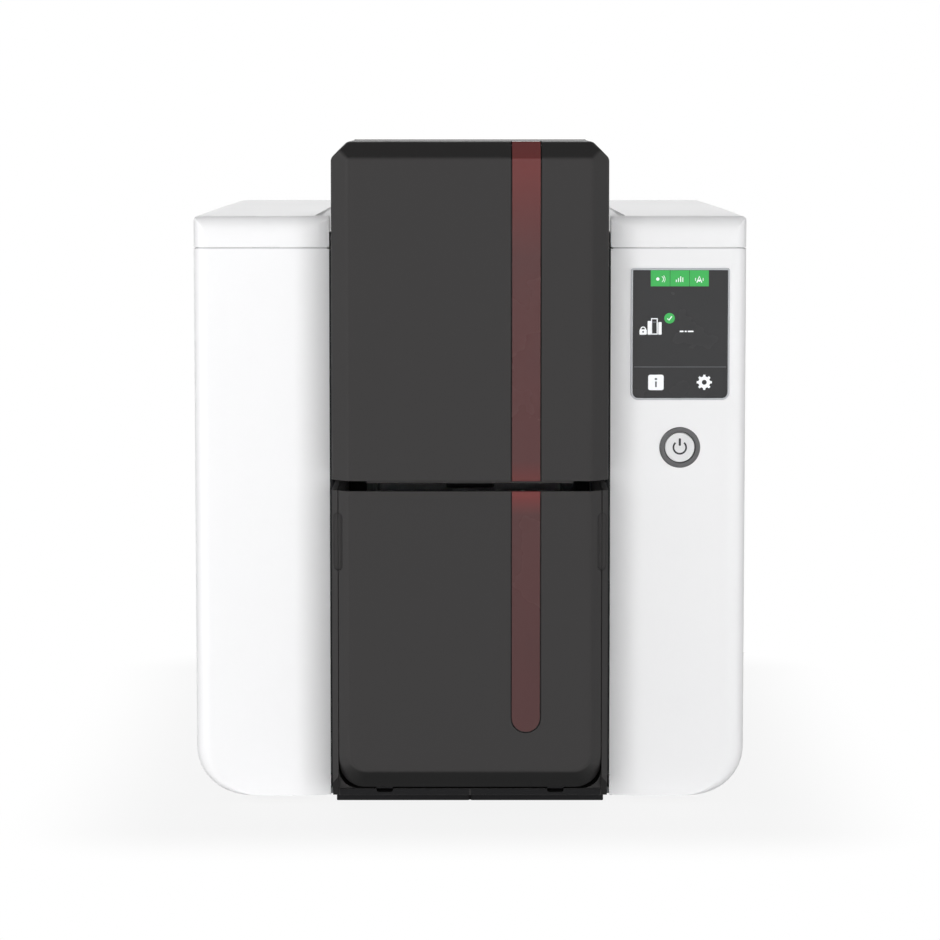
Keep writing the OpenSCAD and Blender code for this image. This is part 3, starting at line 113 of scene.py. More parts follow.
class Solid:
    """A mesh under construction. Every step bakes its result into the mesh."""

    def __init__(self, mesh: bpy.types.Mesh) -> None:
        """Hangs the mesh on a work object in the scene."""
        self.obj = bpy.data.objects.new("work", mesh)
        bpy.context.scene.collection.objects.link(self.obj)

    @classmethod
    def from_bmesh(cls, bm: bmesh.types.BMesh) -> "Solid":
        """Turns an editable mesh into a solid and frees it."""
        mesh = bpy.data.meshes.new("work")
        bm.to_mesh(mesh)
        bm.free()
        return cls(mesh)

    def _bake(self) -> "Solid":
        """Swaps the mesh for the result of its modifiers, and returns this solid."""
        bpy.context.view_layer.update()
        graph = bpy.context.evaluated_depsgraph_get()
        baked = bpy.data.meshes.new_from_object(self.obj.evaluated_get(graph))
        old = self.obj.data
        self.obj.modifiers.clear()
        self.obj.data = baked
        bpy.data.meshes.remove(old)
        return self

    def _combine(self, tools: Sequence["Solid"], operation: str) -> "Solid":
        """Joins tools to this solid, one after the other, and uses them up.

        Args:
            tools: The other solids.
            operation: Name of the Boolean operation.

        Returns:
            This solid.
        """
        for tool in tools:
            step = self.obj.modifiers.new("combine", "BOOLEAN")
            step.operation = operation
            step.solver = "EXACT"
            step.object = tool.obj
        self._bake()
        for tool in tools:
            tool.discard()
        return self

    def minus(self, *tools: "Solid") -> "Solid":
        """Cuts the tools out of this solid and uses them up."""
        return self._combine(tools, "DIFFERENCE")

    def common(self, *tools: "Solid") -> "Solid":
        """Keeps what this solid shares with the tools and uses them up."""
        return self._combine(tools, "INTERSECT")

    def plus(self, *tools: "Solid") -> "Solid":
        """Melts the tools into this solid and uses them up."""
        return self._combine(tools, "UNION")

    def beside(self, *others: "Solid") -> "Solid":
        """Lays other solids beside this one in one mesh, without melting them."""
        bm = bmesh.new()
        bm.from_mesh(self.obj.data)
        for other in others:
            bm.from_mesh(other.obj.data)
            other.discard()
        bm.to_mesh(self.obj.data)
        bm.free()
        return self

    def soften(self, width: float, segments: int = 3, angle: float = 28.0) -> "Solid":
        """Rounds the edges that are sharper than an angle.

        Args:
            width: Width of the rounding in metres.
            segments: Number of facets across the rounding.
            angle: Smallest angle in degrees that is rounded.

        Returns:
            This solid.
        """
        step = self.obj.modifiers.new("soften", "BEVEL")
        step.width = width
        step.segments = segments
        step.limit_method = "ANGLE"
        step.angle_limit = math.radians(angle)
        step.use_clamp_overlap = True
        step.miter_outer = "MITER_ARC"
        return self._bake()

    def thicken(self, wall: float) -> "Solid":
        """Gives an open skin a wall on the side away from its normals."""
        step = self.obj.modifiers.new("thicken", "SOLIDIFY")
        step.thickness = wall
        step.offset = -1
        step.use_even_offset = True
        step.use_quality_normals = True
        return self._bake()

    def shaded(self, angle: float) -> "Solid":
        """Shades faces under an angle as one, led by the largest faces."""
        for polygon in self.obj.data.polygons:
            polygon.use_smooth = True
        self.obj.data.set_sharp_from_angle(angle=math.radians(angle))
        step = self.obj.modifiers.new("shade", "WEIGHTED_NORMAL")
        step.weight = 100
        step.keep_sharp = True
        return self._bake()

    def mirrored(self) -> "Solid":
        """Returns this solid's twin on the other side of the middle plane."""
        bm = bmesh.new()
        bm.from_mesh(self.obj.data)
        bmesh.ops.scale(bm, vec=(-1, 1, 1), verts=bm.verts)
        bmesh.ops.reverse_faces(bm, faces=bm.faces)
        return Solid.from_bmesh(bm)

    def discard(self) -> None:
        """Takes the solid out of the scene."""
        mesh = self.obj.data
        bpy.data.objects.remove(self.obj)
        bpy.data.meshes.remove(mesh)


def closed(bm: bmesh.types.BMesh) -> Solid:
    """Merges double points, turns all faces outwards and returns the solid."""
    bmesh.ops.remove_doubles(bm, verts=bm.verts, dist=1e-7)
    bmesh.ops.recalc_face_normals(bm, faces=bm.faces)
    return Solid.from_bmesh(bm)


def bridge(
    bm: bmesh.types.BMesh, one: Sequence[bmesh.types.BMVert], two: Sequence[bmesh.types.BMVert]
) -> None:
    """Lays faces between two closed rings of equally many points.

    Args:
        bm: The mesh that holds the points.
        one: Points of the first ring.
        two: Points of the second ring.
    """
    count = len(one)
    for i in range(count):
        j = (i + 1) % count
        bm.faces.new((one[i], one[j], two[j], two[i]))


def prism(outline: Sequence[Flat], axis: Axis, start: float, end: float) -> Solid:
    """Draws an outline out along an axis.

    Args:
        outline: Corner points of the drawing, in order.
        axis: Direction of the drawing out.
        start: Place of the first face.
        end: Place of the second face.

    Returns:
        The closed solid.
    """
    bm = bmesh.new()
    low = [bm.verts.new(axis.place(u, v, start)) for u, v in outline]
    high = [bm.verts.new(axis.place(u, v, end)) for u, v in outline]
    bm.faces.new(low)
    bm.faces.new(high)
    bridge(bm, low, high)
    return closed(bm)


def box(low: Sequence[float], high: Sequence[float]) -> Solid:
    """Returns a plain block between two corners, for use as a tool."""
    outline = [(low[0], low[1]), (high[0], low[1]), (high[0], high[1]), (low[0], high[1])]
    return prism(outline, Axis.Z, low[2], high[2])


def arc(
    centre: Flat, radius: float, first: float, last: float, steps: int = 8
) -> list[Flat]:
    """Returns points on an arc.

    Args:
        centre: Centre of the arc.
        radius: Radius of the arc.
        first: Start angle in degrees.
        last: End angle in degrees.
        steps: Number of pieces.

    Returns:
        The points, both ends included.
    """
    points = []
    for i in range(steps + 1):
        a = math.radians(first + (last - first) * i / steps)
        points.append((centre[0] + radius * math.cos(a), centre[1] + radius * math.sin(a)))
    return points


def soft_rect(low: Flat, high: Flat, radii: Sequence[float], steps: int = 6) -> list[Flat]:
    """Returns a rectangle with rounded corners.

    Args:
        low: Lower corner.
        high: Upper corner.
        radii: Radii of the lower left, lower right, upper right and upper left corner.
        steps: Pieces in each corner.

    Returns:
        The outline's points.
    """
    corners = [
        ((low[0], low[1]), (1, 1), 180),
        ((high[0], low[1]), (-1, 1), 270),
        ((high[0], high[1]), (-1, -1), 0),
        ((low[0], high[1]), (1, -1), 90),
    ]
    outline = []
    for (corner, inward, first), r in zip(corners, radii):
        centre = (corner[0] + inward[0] * r, corner[1] + inward[1] * r)
        outline += arc(centre, r, first, first + 90, steps)
    return outline


def pill(u: float, v0: float, v1: float, width: float) -> list[Flat]:
    """Returns an upright slot outline with round ends."""
    r = width / 2
    return arc((u, v0 + r), r, 180, 360, 16) + arc((u, v1 - r), r, 0, 180, 16)


def revolve(
    profile: Sequence[Flat], axis: Axis, centre: Flat, segments: int = 64
) -> Solid:
    """Turns a profile around an axis.

    Args:
        profile: Pairs of place along the axis and radius, from one end to the other.
        axis: Direction of the axis.
        centre: Where the axis passes, in the drawing plane of that axis.
        segments: Pieces around the axis.

    Returns:
        The closed solid.
    """
    bm = bmesh.new()
    rings = []
    for along, radius in profile:
        ring = []
        for i in range(segments):
            a = math.tau * i / segments
            u = centre[0] + radius * math.cos(a)
            v = centre[1] + radius * math.sin(a)
            ring.append(bm.verts.new(axis.place(u, v, along)))
        rings.append(ring)
    for one, two in zip(rings, rings[1:]):
        bridge(bm, one, two)
    if profile[0] != profile[-1]:
        bm.faces.new(rings[0])
        bm.faces.new(rings[-1])
    return closed(bm)


def rod(start: float, end: float, axis: Axis, centre: Flat, radius: float) -> Solid:
    """Returns a round bar."""
    return revolve([(start, radius), (end, radius)], axis, centre, 48)


def skin(rows: Sequence[Sequence[Vector]]) -> bmesh.types.BMesh:
    """Lays faces between rows of equally many points and returns the open mesh."""
    bm = bmesh.new()
    points = [[bm.verts.new(p) for p in row] for row in rows]
    for low, high in zip(points, points[1:]):
        for c in range(len(low) - 1):
            bm.faces.new((low[c], low[c + 1], high[c + 1], high[c]))
    return bm


# ------------------------------------------------------------ shared effects


class Effect:
    """A shader node group with named inputs and outputs, built once."""

    def __init__(self, name: str, inputs: dict[str, float], outputs: Sequence[str]) -> None:
        """Opens the group.

        Args:
            name: Name of the group.
            inputs: Name and standard value of each input.
            outputs: Name of each output.
        """
        self.tree = bpy.data.node_groups.new(name, "ShaderNodeTree")
        face = self.tree.interface
        for label, value in inputs.items():
            socket = face.new_socket(label, in_out="INPUT", socket_type="NodeSocketFloat")
            socket.default_value = value
        for label in outputs:
            face.new_socket(label, in_out="OUTPUT", socket_type="NodeSocketFloat")
        self.given = self.tree.nodes.new("NodeGroupInput")
        self.result = self.tree.nodes.new("NodeGroupOutput")

    def node(self, kind: str, **settings: object) -> Node:
        """Adds a node to the group. Settings name its properties."""
        return new_node(self.tree, kind, **settings)

    def wire(self, source: Socket, target: Socket) -> None:
        """Joins two sockets of the group."""
        self.tree.links.new(source, target)


def new_node(tree: bpy.types.NodeTree, kind: str, **settings: object) -> Node:
    """Adds a shader node and sets its properties."""
    node = tree.nodes.new("ShaderNode" + kind)
    for label, value in settings.items():
        setattr(node, label, value)
    return node


def set_inputs(node: Node, **values: object) -> None:
    """Sets plain values on a node's inputs, which the values name with _ for a blank."""
    for label, value in values.items():
        node.inputs[label.replace("_", " ")].default_value = value


def moulded_grain() -> Effect:
    """Returns the fine spark-eroded texture of moulded plastic.

    Its height feeds a bump and its mottle a slow change of shade.
    """
    effect = Effect(
        "moulded_grain",
        {"Grain Size": 0.4, "Mottle Size": 60.0},
        ("Height", "Mottle"),
    )
    place = effect.node("TexCoord").outputs["Object"]
    per_metre = effect.node("Math", operation="DIVIDE")
    per_metre.inputs[0].default_value = 1000
    effect.wire(effect.given.outputs["Grain Size"], per_metre.inputs[1])
    grain = effect.node("TexNoise")
    set_inputs(grain, Detail=3, Roughness=0.6)
    effect.wire(place, grain.inputs["Vector"])
    effect.wire(per_metre.outputs[0], grain.inputs["Scale"])
    slow = effect.node("Math", operation="DIVIDE")
    slow.inputs[0].default_value = 1000
    effect.wire(effect.given.outputs["Mottle Size"], slow.inputs[1])
    mottle = effect.node("TexNoise")
    mottle.inputs["Detail"].default_value = 4
    effect.wire(place, mottle.inputs["Vector"])
    effect.wire(slow.outputs[0], mottle.inputs["Scale"])
    effect.wire(grain.outputs["Fac"], effect.result.inputs["Height"])
    effect.wire(mottle.outputs["Fac"], effect.result.inputs["Mottle"])
    return effect


def settled_dust() -> Effect:
    """Returns a mask of the thin dust that lies on faces that look up."""
    effect = Effect("settled_dust", {"Amount": 0.1}, ("Mask",))
    coords = effect.node("TexCoord")
    split = effect.node("SeparateXYZ")
    effect.wire(coords.outputs["Normal"], split.inputs[0])
    facing = effect.node("MapRange", interpolation_type="SMOOTHSTEP")
    set_inputs(facing, From_Min=0.5, From_Max=1.0)
    effect.wire(split.outputs["Z"], facing.inputs["Value"])
    specks = effect.node("TexNoise")
    set_inputs(specks, Scale=90, Detail=8, Roughness=0.75)
    effect.wire(coords.outputs["Object"], specks.inputs["Vector"])
    lying = effect.node("Math", operation="MULTIPLY")
    effect.wire(facing.outputs[0], lying.inputs[0])
    effect.wire(specks.outputs["Fac"], lying.inputs[1])
    scaled = effect.node("Math", operation="MULTIPLY")
    effect.wire(lying.outputs[0], scaled.inputs[0])
    effect.wire(effect.given.outputs["Amount"], scaled.inputs[1])
    effect.wire(scaled.outputs[0], effect.result.inputs["Mask"])
    return effect


def brushed_lines() -> Effect:
    """Returns long fine lines, as rolled or ground metal shows, along one axis."""
    effect = Effect(
        "brushed_lines",
        {"Stretch X": 1.0, "Stretch Y": 1.0, "Stretch Z": 1.0},
        ("Lines",),
    )
    place = effect.node("TexCoord").outputs["Object"]
    stretch = effect.node("CombineXYZ")
    for label in ("X", "Y", "Z"):
        effect.wire(effect.given.outputs["Stretch " + label], stretch.inputs[label])
    scaled = effect.node("VectorMath", operation="MULTIPLY")
    effect.wire(place, scaled.inputs[0])
    effect.wire(stretch.outputs[0], scaled.inputs[1])
    lines = effect.node("TexNoise")
    set_inputs(lines, Scale=60, Detail=6)
    effect.wire(scaled.outputs[0], lines.inputs["Vector"])
    effect.wire(lines.outputs["Fac"], effect.result.inputs["Lines"])
    return effect


class Effects:
    """The node groups that more than one finish uses."""

    def __init__(self) -> None:
        """Builds every group."""
        self.grain = moulded_grain()
        self.dust = settled_dust()
        self.lines = brushed_lines()


# ------------------------------------------------------------------ finishes


def linear(level: float) -> float:
    """Turns an 8-bit display level into a linear value."""
    c = level / 255
    return c / 12.92 if c <= 0.04045 else ((c + 0.055) / 1.055) ** 2.4


def shade(red: float, green: float, blue: float) -> Colour:
    """Turns three 8-bit display levels into a linear colour."""
    return (linear(red), linear(green), linear(blue), 1.0)


def toned(colour: Colour, share: float) -> Colour:
    """Returns a lighter or darker version of a colour."""
    return tuple(min(1.0, c * share) for c in colour[:3]) + (1.0,)


class Recipe:
    """A material being wired: its tree, its Principled shader and short helpers."""

    def __init__(self, name: str, effects: Effects) -> None:
        """Opens an empty material with a Principled shader at its output."""
        self.material = bpy.data.materials.new(name)
        self.material.use_nodes = True
        self.tree = self.material.node_tree
        self.tree.nodes.clear()
        self.effects = effects
        self.shader = new_node(self.tree, "BsdfPrincipled")
        output = new_node(self.tree, "OutputMaterial")
        self.wire(self.shader.outputs[0], output.inputs[0])

    def node(self, kind: str, **settings: object) -> Node:
        """Adds a node to the material."""
        return new_node(self.tree, kind, **settings)

    def wire(self, source: Socket, target: Socket) -> None:
        """Joins two sockets of the material."""
        self.tree.links.new(source, target)

    def group(self, effect: Effect, **values: float) -> Node:
        """Places a shared effect. Values name its inputs, with _ for a blank."""
        node = self.tree.nodes.new("ShaderNodeGroup")
        node.node_tree = effect.tree
        set_inputs(node, **values)
        return node

    def set(self, **values: object) -> None:
        """Sets plain values on the shader's own sockets, with _ for a blank."""
        set_inputs(self.shader, **values)

    def mix(self, mask: Socket, low: object, high: object) -> Socket:
        """Mixes two colours, each a value or a socket, by a mask."""
        node = self.node("Mix", data_type="RGBA")
        self.wire(mask, node.inputs["Factor"])
        for index, colour in ((6, low), (7, high)):
            if isinstance(colour, Socket):
                self.wire(colour, node.inputs[index])
            else:
                node.inputs[index].default_value = colour
        return node.outputs[2]

    def span(self, value: Socket, low: float, high: float, to: Flat = (0.0, 1.0)) -> Socket:
        """Maps a value from one range to another and clamps it."""
        node = self.node("MapRange")
        set_inputs(node, From_Min=low, From_Max=high, To_Min=to[0], To_Max=to[1])
        self.wire(value, node.inputs["Value"])
        return node.outputs[0]

    def maths(self, operation: str, one: object, two: object = 0.0) -> Socket:
        """Joins two values or sockets by a Math node."""
        node = self.node("Math", operation=operation)
        for index, value in ((0, one), (1, two)):
            if isinstance(value, Socket):
                self.wire(value, node.inputs[index])
            else:
                node.inputs[index].default_value = value
        return node.outputs[0]

    def place(self) -> tuple[Socket, Socket, Socket]:
        """Returns the three coordinates of the point at rest."""
        split = self.node("SeparateXYZ")
        self.wire(self.node("TexCoord").outputs["Object"], split.inputs[0])
        return split.outputs[0], split.outputs[1], split.outputs[2]

    def feed(self, label: str, source: Socket) -> None:
        """Joins a socket to one of the shader's own inputs."""
        self.wire(source, self.shader.inputs[label])

    def roughen(self, source: Socket, low: float, high: float, to: Flat) -> None:
        """Feeds a value, mapped from one range to another, into the roughness."""
        self.feed("Roughness", self.span(source, low, high, to))

    def dot_grid(self, pitch: float) -> Socket:
        """Returns a mask of the dots of a screen that stand a pitch apart."""
        x, _, z = self.place()
        waves = [
            self.maths("SINE", self.maths("MULTIPLY", value, math.tau / pitch))
            for value in (x, z)
        ]
        return self.span(self.maths("ADD", *waves), -2.0, 2.0)

    def bump(self, height: Socket, depth: float) -> None:
        """Feeds a height from 0 to 1, which means a depth in metres, into the normal."""
        node = self.node("Bump")
        set_inputs(node, Distance=depth, Strength=1.0)
        self.wire(height, node.inputs["Height"])
        self.wire(node.outputs[0], self.shader.inputs["Normal"])


@dataclass(frozen=True)
class MouldedPlastic:
    """A moulded plastic with a fine eroded grain, and painted shade on bevels that look up or down
    where asked.

    Attributes:
        name: Name of the finish.
        colour: Linear colour.
        roughness: Mean roughness.
        gloss: Specular level of the skin.
        grain: Size of the grain in millimetres.
        depth: Depth of the grain in millimetres.
        mottle: How far the shade drifts, as a share.
        dust: Amount of dust on faces that look up.
        painted_up_shade: Share of the colour left on bevels that look up, a painted shade.
        painted_down_shade: Share of the colour left on bevels that look down, a painted shade.
    """

    name: str
    colour: Colour
    roughness: float = 0.5
    gloss: float = 0.4
    grain: float = 0.35
    depth: float = 0.006
    mottle: float = 0.05
    dust: float = 0.05
    painted_up_shade: float = 1.0
    painted_down_shade: float = 1.0

    def make(self, effects: Effects) -> bpy.types.Material:
        """Builds the material."""
        recipe = Recipe(self.name, effects)
        grain = recipe.group(effects.grain, Grain_Size=self.grain, Mottle_Size=45.0)
        dust = recipe.group(effects.dust, Amount=self.dust)
        low = toned(self.colour, 1 - self.mottle)
        high = toned(self.colour, 1 + self.mottle)
        drift = recipe.mix(grain.outputs["Mottle"], low, high)
        # Painted shade: bevels that look up or down take a darker colour in place of the shade that
        # falls on them.
        if self.painted_up_shade < 1.0 or self.painted_down_shade < 1.0:
            split = recipe.node("SeparateXYZ")
            recipe.wire(recipe.node("TexCoord").outputs["Normal"], split.inputs[0])
            up = recipe.span(split.outputs["Z"], 0.3, 0.7)
            down = recipe.span(split.outputs["Z"], -0.3, -0.7)
            for mask, share in ((up, self.painted_up_shade), (down, self.painted_down_shade)):
                drift = recipe.mix(mask, drift, toned(self.colour, share))
        colour = recipe.mix(dust.outputs["Mask"], drift, shade(190, 188, 184))
        recipe.feed("Base Color", colour)
        spread = (self.roughness - 0.04, self.roughness + 0.04)
        recipe.roughen(grain.outputs["Mottle"], 0.3, 0.7, spread)
        recipe.set(Specular_IOR_Level=self.gloss)
        recipe.bump(grain.outputs["Height"], self.depth * MM)
        return recipe.material


@dataclass(frozen=True)
class RolledMetal:
    """Sheet, bar or extruded metal with fine lines along one axis.

    Attributes:
        name: Name of the finish.
        colour: Linear colour.
        roughness: Mean roughness.
        along: Axis of the lines.
        depth: Depth of the lines in millimetres.
    """

    name: str
    colour: Colour
    roughness: float = 0.32
    along: Axis = Axis.X
    depth: float = 0.004

    def make(self, effects: Effects) -> bpy.types.Material:
        """Builds the material."""
        recipe = Recipe(self.name, effects)
        stretch = {f"Stretch_{axis.value.upper()}": 40.0 for axis in Axis}
        stretch[f"Stretch_{self.along.value.upper()}"] = 1.0
        lines = recipe.group(effects.lines, **stretch).outputs["Lines"]
        grain = recipe.group(effects.grain, Grain_Size=0.8, Mottle_Size=25.0)
        worn = toned(self.colour, 0.82)
        recipe.feed("Base Color", recipe.mix(recipe.span(lines, 0.35, 0.65), worn, self.colour))
        blend = recipe.maths("ADD", lines, grain.outputs["Mottle"])
        recipe.roughen(blend, 0.7, 1.3, (self.roughness - 0.07, self.roughness + 0.1))
        recipe.set(Metallic=1.0)
        recipe.bump(lines, self.depth * MM)
        return recipe.material


@dataclass(frozen=True)
class RubberSkin:
    """Matt rubber with a ground, slightly dusty skin."""

    name: str
    colour: Colour
    roughness: float = 0.82

    def make(self, effects: Effects) -> bpy.types.Material:
        """Builds the material."""
        recipe = Recipe(self.name, effects)
        grain = recipe.group(effects.grain, Grain_Size=0.25, Mottle_Size=8.0)
        pale = toned(self.colour, 1.7)
        recipe.feed("Base Color", recipe.mix(grain.outputs["Mottle"], self.colour, pale))
        recipe.roughen(grain.outputs["Height"], 0.3, 0.7, (self.roughness - 0.08, 0.95))
        recipe.set(Specular_IOR_Level=0.2)
        recipe.bump(grain.outputs["Height"], 0.02 * MM)
        return recipe.material


@dataclass(frozen=True)
class SmokedStrip:
    """The smoked red strip, which is redder where light leaks in at an end.

    Attributes:
        name: Name of the finish.
        body: Colour away from the ends.
        lit: Colour at a lit end.
        lights: Heights where the strip is lit and the reach of each light, in metres.
    """

    name: str
    body: Colour
    lit: Colour
    lights: tuple[tuple[float, float], ...]

    def make(self, effects: Effects) -> bpy.types.Material:
        """Builds the material."""
        recipe = Recipe(self.name, effects)
        height = recipe.place()[2]
        glow = None
        for level, reach in self.lights:
            away = recipe.maths("ABSOLUTE", recipe.maths("SUBTRACT", height, level))
            near = recipe.span(away, 0.0, reach, (1.0, 0.0))
            glow = near if glow is None else recipe.maths("MAXIMUM", glow, near)
        grain = recipe.group(effects.grain, Grain_Size=1.2, Mottle_Size=30.0)
        drift = recipe.maths("MULTIPLY", grain.outputs["Mottle"], 0.16)
        mask = recipe.maths("ADD", glow, drift)
        # Painted light: the glow of the light leaking in at the ends is painted into the base
        # colour.
        recipe.feed("Base Color", recipe.mix(mask, self.body, self.lit))
        recipe.roughen(grain.outputs["Mottle"], 0.3, 0.7, (0.22, 0.3))
        recipe.set(Specular_IOR_Level=0.22, Coat_Weight=0.12, Coat_Roughness=0.12)
        recipe.bump(grain.outputs["Height"], 0.004 * MM)
        return recipe.material


@dataclass(frozen=True)
class ScreenPanel:
    """A dark liquid crystal panel under a clear cover, with its fine dot grid."""

    name: str
    colour: Colour
    pitch: float = 0.24 * MM

    def make(self, effects: Effects) -> bpy.types.Material:
        """Builds the material."""
        recipe = Recipe(self.name, effects)
        grid = recipe.dot_grid(self.pitch)
        dots = recipe.mix(grid, toned(self.colour, 0.9), toned(self.colour, 1.1))
        recipe.feed("Base Color", dots)
        smear = recipe.group(effects.grain, Grain_Size=4.0, Mottle_Size=18.0)
        recipe.roughen(smear.outputs["Mottle"], 0.35, 0.7, (0.2, 0.32))
        recipe.set(Specular_IOR_Level=0.15, Coat_Weight=0.15, Coat_Roughness=0.05)
        return recipe.material


@dataclass(frozen=True)
class LitInk:
    """Lit dots of the screen: a flat colour that glows a little, with the dot grid."""

    name: str
    colour: Colour
    glow: float = 0.25
    pitch: float = 0.24 * MM

    def make(self, effects: Effects) -> bpy.types.Material:
        """Builds the material."""
        recipe = Recipe(self.name, effects)
        grid = recipe.dot_grid(self.pitch)
        lit = recipe.mix(grid, toned(self.colour, 0.88), self.colour)
        recipe.feed("Base Color", lit)
        recipe.feed("Emission Color", lit)
        recipe.set(Emission_Strength=self.glow, Roughness=0.4, Specular_IOR_Level=0.1)
        return recipe.material


@dataclass(frozen=True)
class CircuitLacquer:
    """Green board lacquer over a net of copper tracks."""

    name: str

    def make(self, effects: Effects) -> bpy.types.Material:
        """Builds the material."""
        recipe = Recipe(self.name, effects)
        place = recipe.node("TexCoord").outputs["Object"]
        cells = recipe.node("TexVoronoi", feature="DISTANCE_TO_EDGE")
        cells.inputs["Scale"].default_value = 260
        recipe.wire(place, cells.inputs["Vector"])
        tracks = recipe.span(cells.outputs["Distance"], 0.05, 0.09, (1.0, 0.0))
        dots = recipe.node("TexVoronoi", feature="F1")
        dots.inputs["Scale"].default_value = 420
        recipe.wire(place, dots.inputs["Vector"])
        pads = recipe.span(dots.outputs["Distance"], 0.16, 0.2, (1.0, 0.0))
        base = recipe.mix(tracks, shade(24, 74, 44), shade(38, 104, 62))
        colour = recipe.mix(pads, base, shade(196, 178, 120))
        recipe.feed("Base Color", colour)
        recipe.feed("Metallic", recipe.maths("MULTIPLY", pads, 0.8))
        recipe.set(Roughness=0.34)
        recipe.bump(tracks, 0.03 * MM)
        return recipe.material


@dataclass(frozen=True)
class WoundFilm:
    """Ribbon film wound on a spool: fine layers around the spool's axis.

    Attributes:
        name: Name of the finish.
        axis_y: Place of the spool's axis from front to rear.
        axis_z: Height of the spool's axis.
        core: Radius inside which the spool's plastic shows.
        colour: Colour of the wound film.
        layer: Thickness of one visible layer.
    """

    name: str
    axis_y: float
    axis_z: float
    core: float
    colour: Colour
    layer: float = 0.35 * MM

    def make(self, effects: Effects) -> bpy.types.Material:
        """Builds the material."""
        recipe = Recipe(self.name, effects)
        _, y, z = recipe.place()
        dy = recipe.maths("SUBTRACT", y, self.axis_y)
        dz = recipe.maths("SUBTRACT", z, self.axis_z)
        square = recipe.maths(
            "ADD", recipe.maths("MULTIPLY", dy, dy), recipe.maths("MULTIPLY", dz, dz)
        )
        radius = recipe.maths("SQRT", square)
        wave = recipe.maths("MULTIPLY", radius, math.tau / self.layer)
        mask = recipe.span(recipe.maths("SINE", wave), -1.0, 1.0)
        pale = tuple(min(1.0, c * 2.2 + 0.01) for c in self.colour[:3]) + (1.0,)
        wound = recipe.mix(mask, self.colour, pale)
        inside = recipe.span(radius, self.core, self.core + 0.1 * MM, (1.0, 0.0))
        recipe.feed("Base Color", recipe.mix(inside, wound, shade(58, 58, 60)))
        recipe.set(Roughness=0.3)
        recipe.bump(mask, 0.03 * MM)
        return recipe.material


@dataclass(frozen=True)
class PrintFilm:
    """The taut ribbon film with its run of dye panels along Y."""

    name: str
    first_y: float
    panel: float

    def make(self, effects: Effects) -> bpy.types.Material:
        """Builds the material."""
        recipe = Recipe(self.name, effects)
        y = recipe.place()[1]
        run = recipe.maths("DIVIDE", recipe.maths("SUBTRACT", y, self.first_y), self.panel)
        ramp = recipe.node("ValToRGB")
        ramp.color_ramp.interpolation = "CONSTANT"
        dyes = [
            (0.0, shade(120, 104, 22)),
            (0.25, shade(116, 26, 62)),
            (0.5, shade(20, 62, 110)),
            (0.75, shade(22, 22, 24)),
        ]
        stops = ramp.color_ramp.elements
        stops[0].position, stops[0].color = dyes[0]
        stops[1].position, stops[1].color = dyes[-1]
        for position, dye in dyes[1:-1]:
            stops.new(position).color = dye
        recipe.wire(run, ramp.inputs["Fac"])
        recipe.feed("Base Color", ramp.outputs["Color"])
        crease = recipe.group(effects.grain, Grain_Size=3.0, Mottle_Size=12.0)
        recipe.roughen(crease.outputs["Mottle"], 0.3, 0.7, (0.12, 0.26))
        recipe.bump(crease.outputs["Mottle"], 0.25 * MM)
        return recipe.material


Finish = (
    MouldedPlastic | RolledMetal | RubberSkin | SmokedStrip | ScreenPanel | LitInk
    | CircuitLacquer | WoundFilm | PrintFilm
)


# --------------------------------------------------------------------- bench


class Bench:
    """Puts finished pieces on their CAD bodies, with their finish."""

    def __init__(self, frame: dict, effects: Effects) -> None:
        """Lays out the CAD nodes, their slots and the shared effects."""
        self.nodes = frame["nodes"]
        self.effects = effects
        self.slots = {
            part["node"]: part["material_slot"] for part in frame["record"]["subparts"]
        }
        self.made: dict[str, bpy.types.Material] = {}
        self.dressed: set[str] = set()

    def material(self, finish: Finish) -> bpy.types.Material:
        """Returns a finish's material, built once."""
        if finish.name not in self.made:
            self.made[finish.name] = finish.make(self.effects)
        return self.made[finish.name]

    def place(
        self,
        name: str,
        solid: Solid,
        finish: Finish,
        node: str,
        stands_for: bool = True,
        smooth: float = 32.0,
    ) -> bpy.types.Object:
        """node: CAD node whose body carries it.
            stands_for: Whether the piece is shown instead of that node.
            smooth: Angle in degrees under which faces shade as one.

        Returns:
            The object in place.
        """
        obj = solid.shaded(smooth).obj
        obj.name = name
        obj.data.name = name
        obj.data.materials.clear()
        obj.data.materials.append(self.material(finish))
        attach(obj, self.nodes[node]["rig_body"])
        if stands_for:
            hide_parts(node)
            self.dressed.add(node)
        log.info("placed %s on %s, %d faces", name, node, len(obj.data.polygons))
        return obj

    def copy(self, node: str) -> Solid:
        """Returns a clean working copy of a CAD node's mesh."""
        bm = bmesh.new()
        bm.from_mesh(self.nodes[node].data)
        bmesh.ops.remove_doubles(bm, verts=bm.verts, dist=2e-6)
        bmesh.ops.dissolve_limit(
            bm, angle_limit=math.radians(0.6), verts=bm.verts, edges=bm.edges
        )
        return closed(bm)

    def dress(self, node: str, finish: Finish, edge: float = 0.25 * MM) -> bpy.types.Object:
        """Shows a CAD node with soft edges and a finish.

        Args:
            node: The CAD node.
            finish: Its finish.
            edge: Width of the rounding of its edges in metres.

        Returns:
            The object in place.
        """
        solid = self.copy(node).soften(edge, 2, 32)
        return self.place(node + "_piece", solid, finish, node)


# -------------------------------------------------------------- the finishes

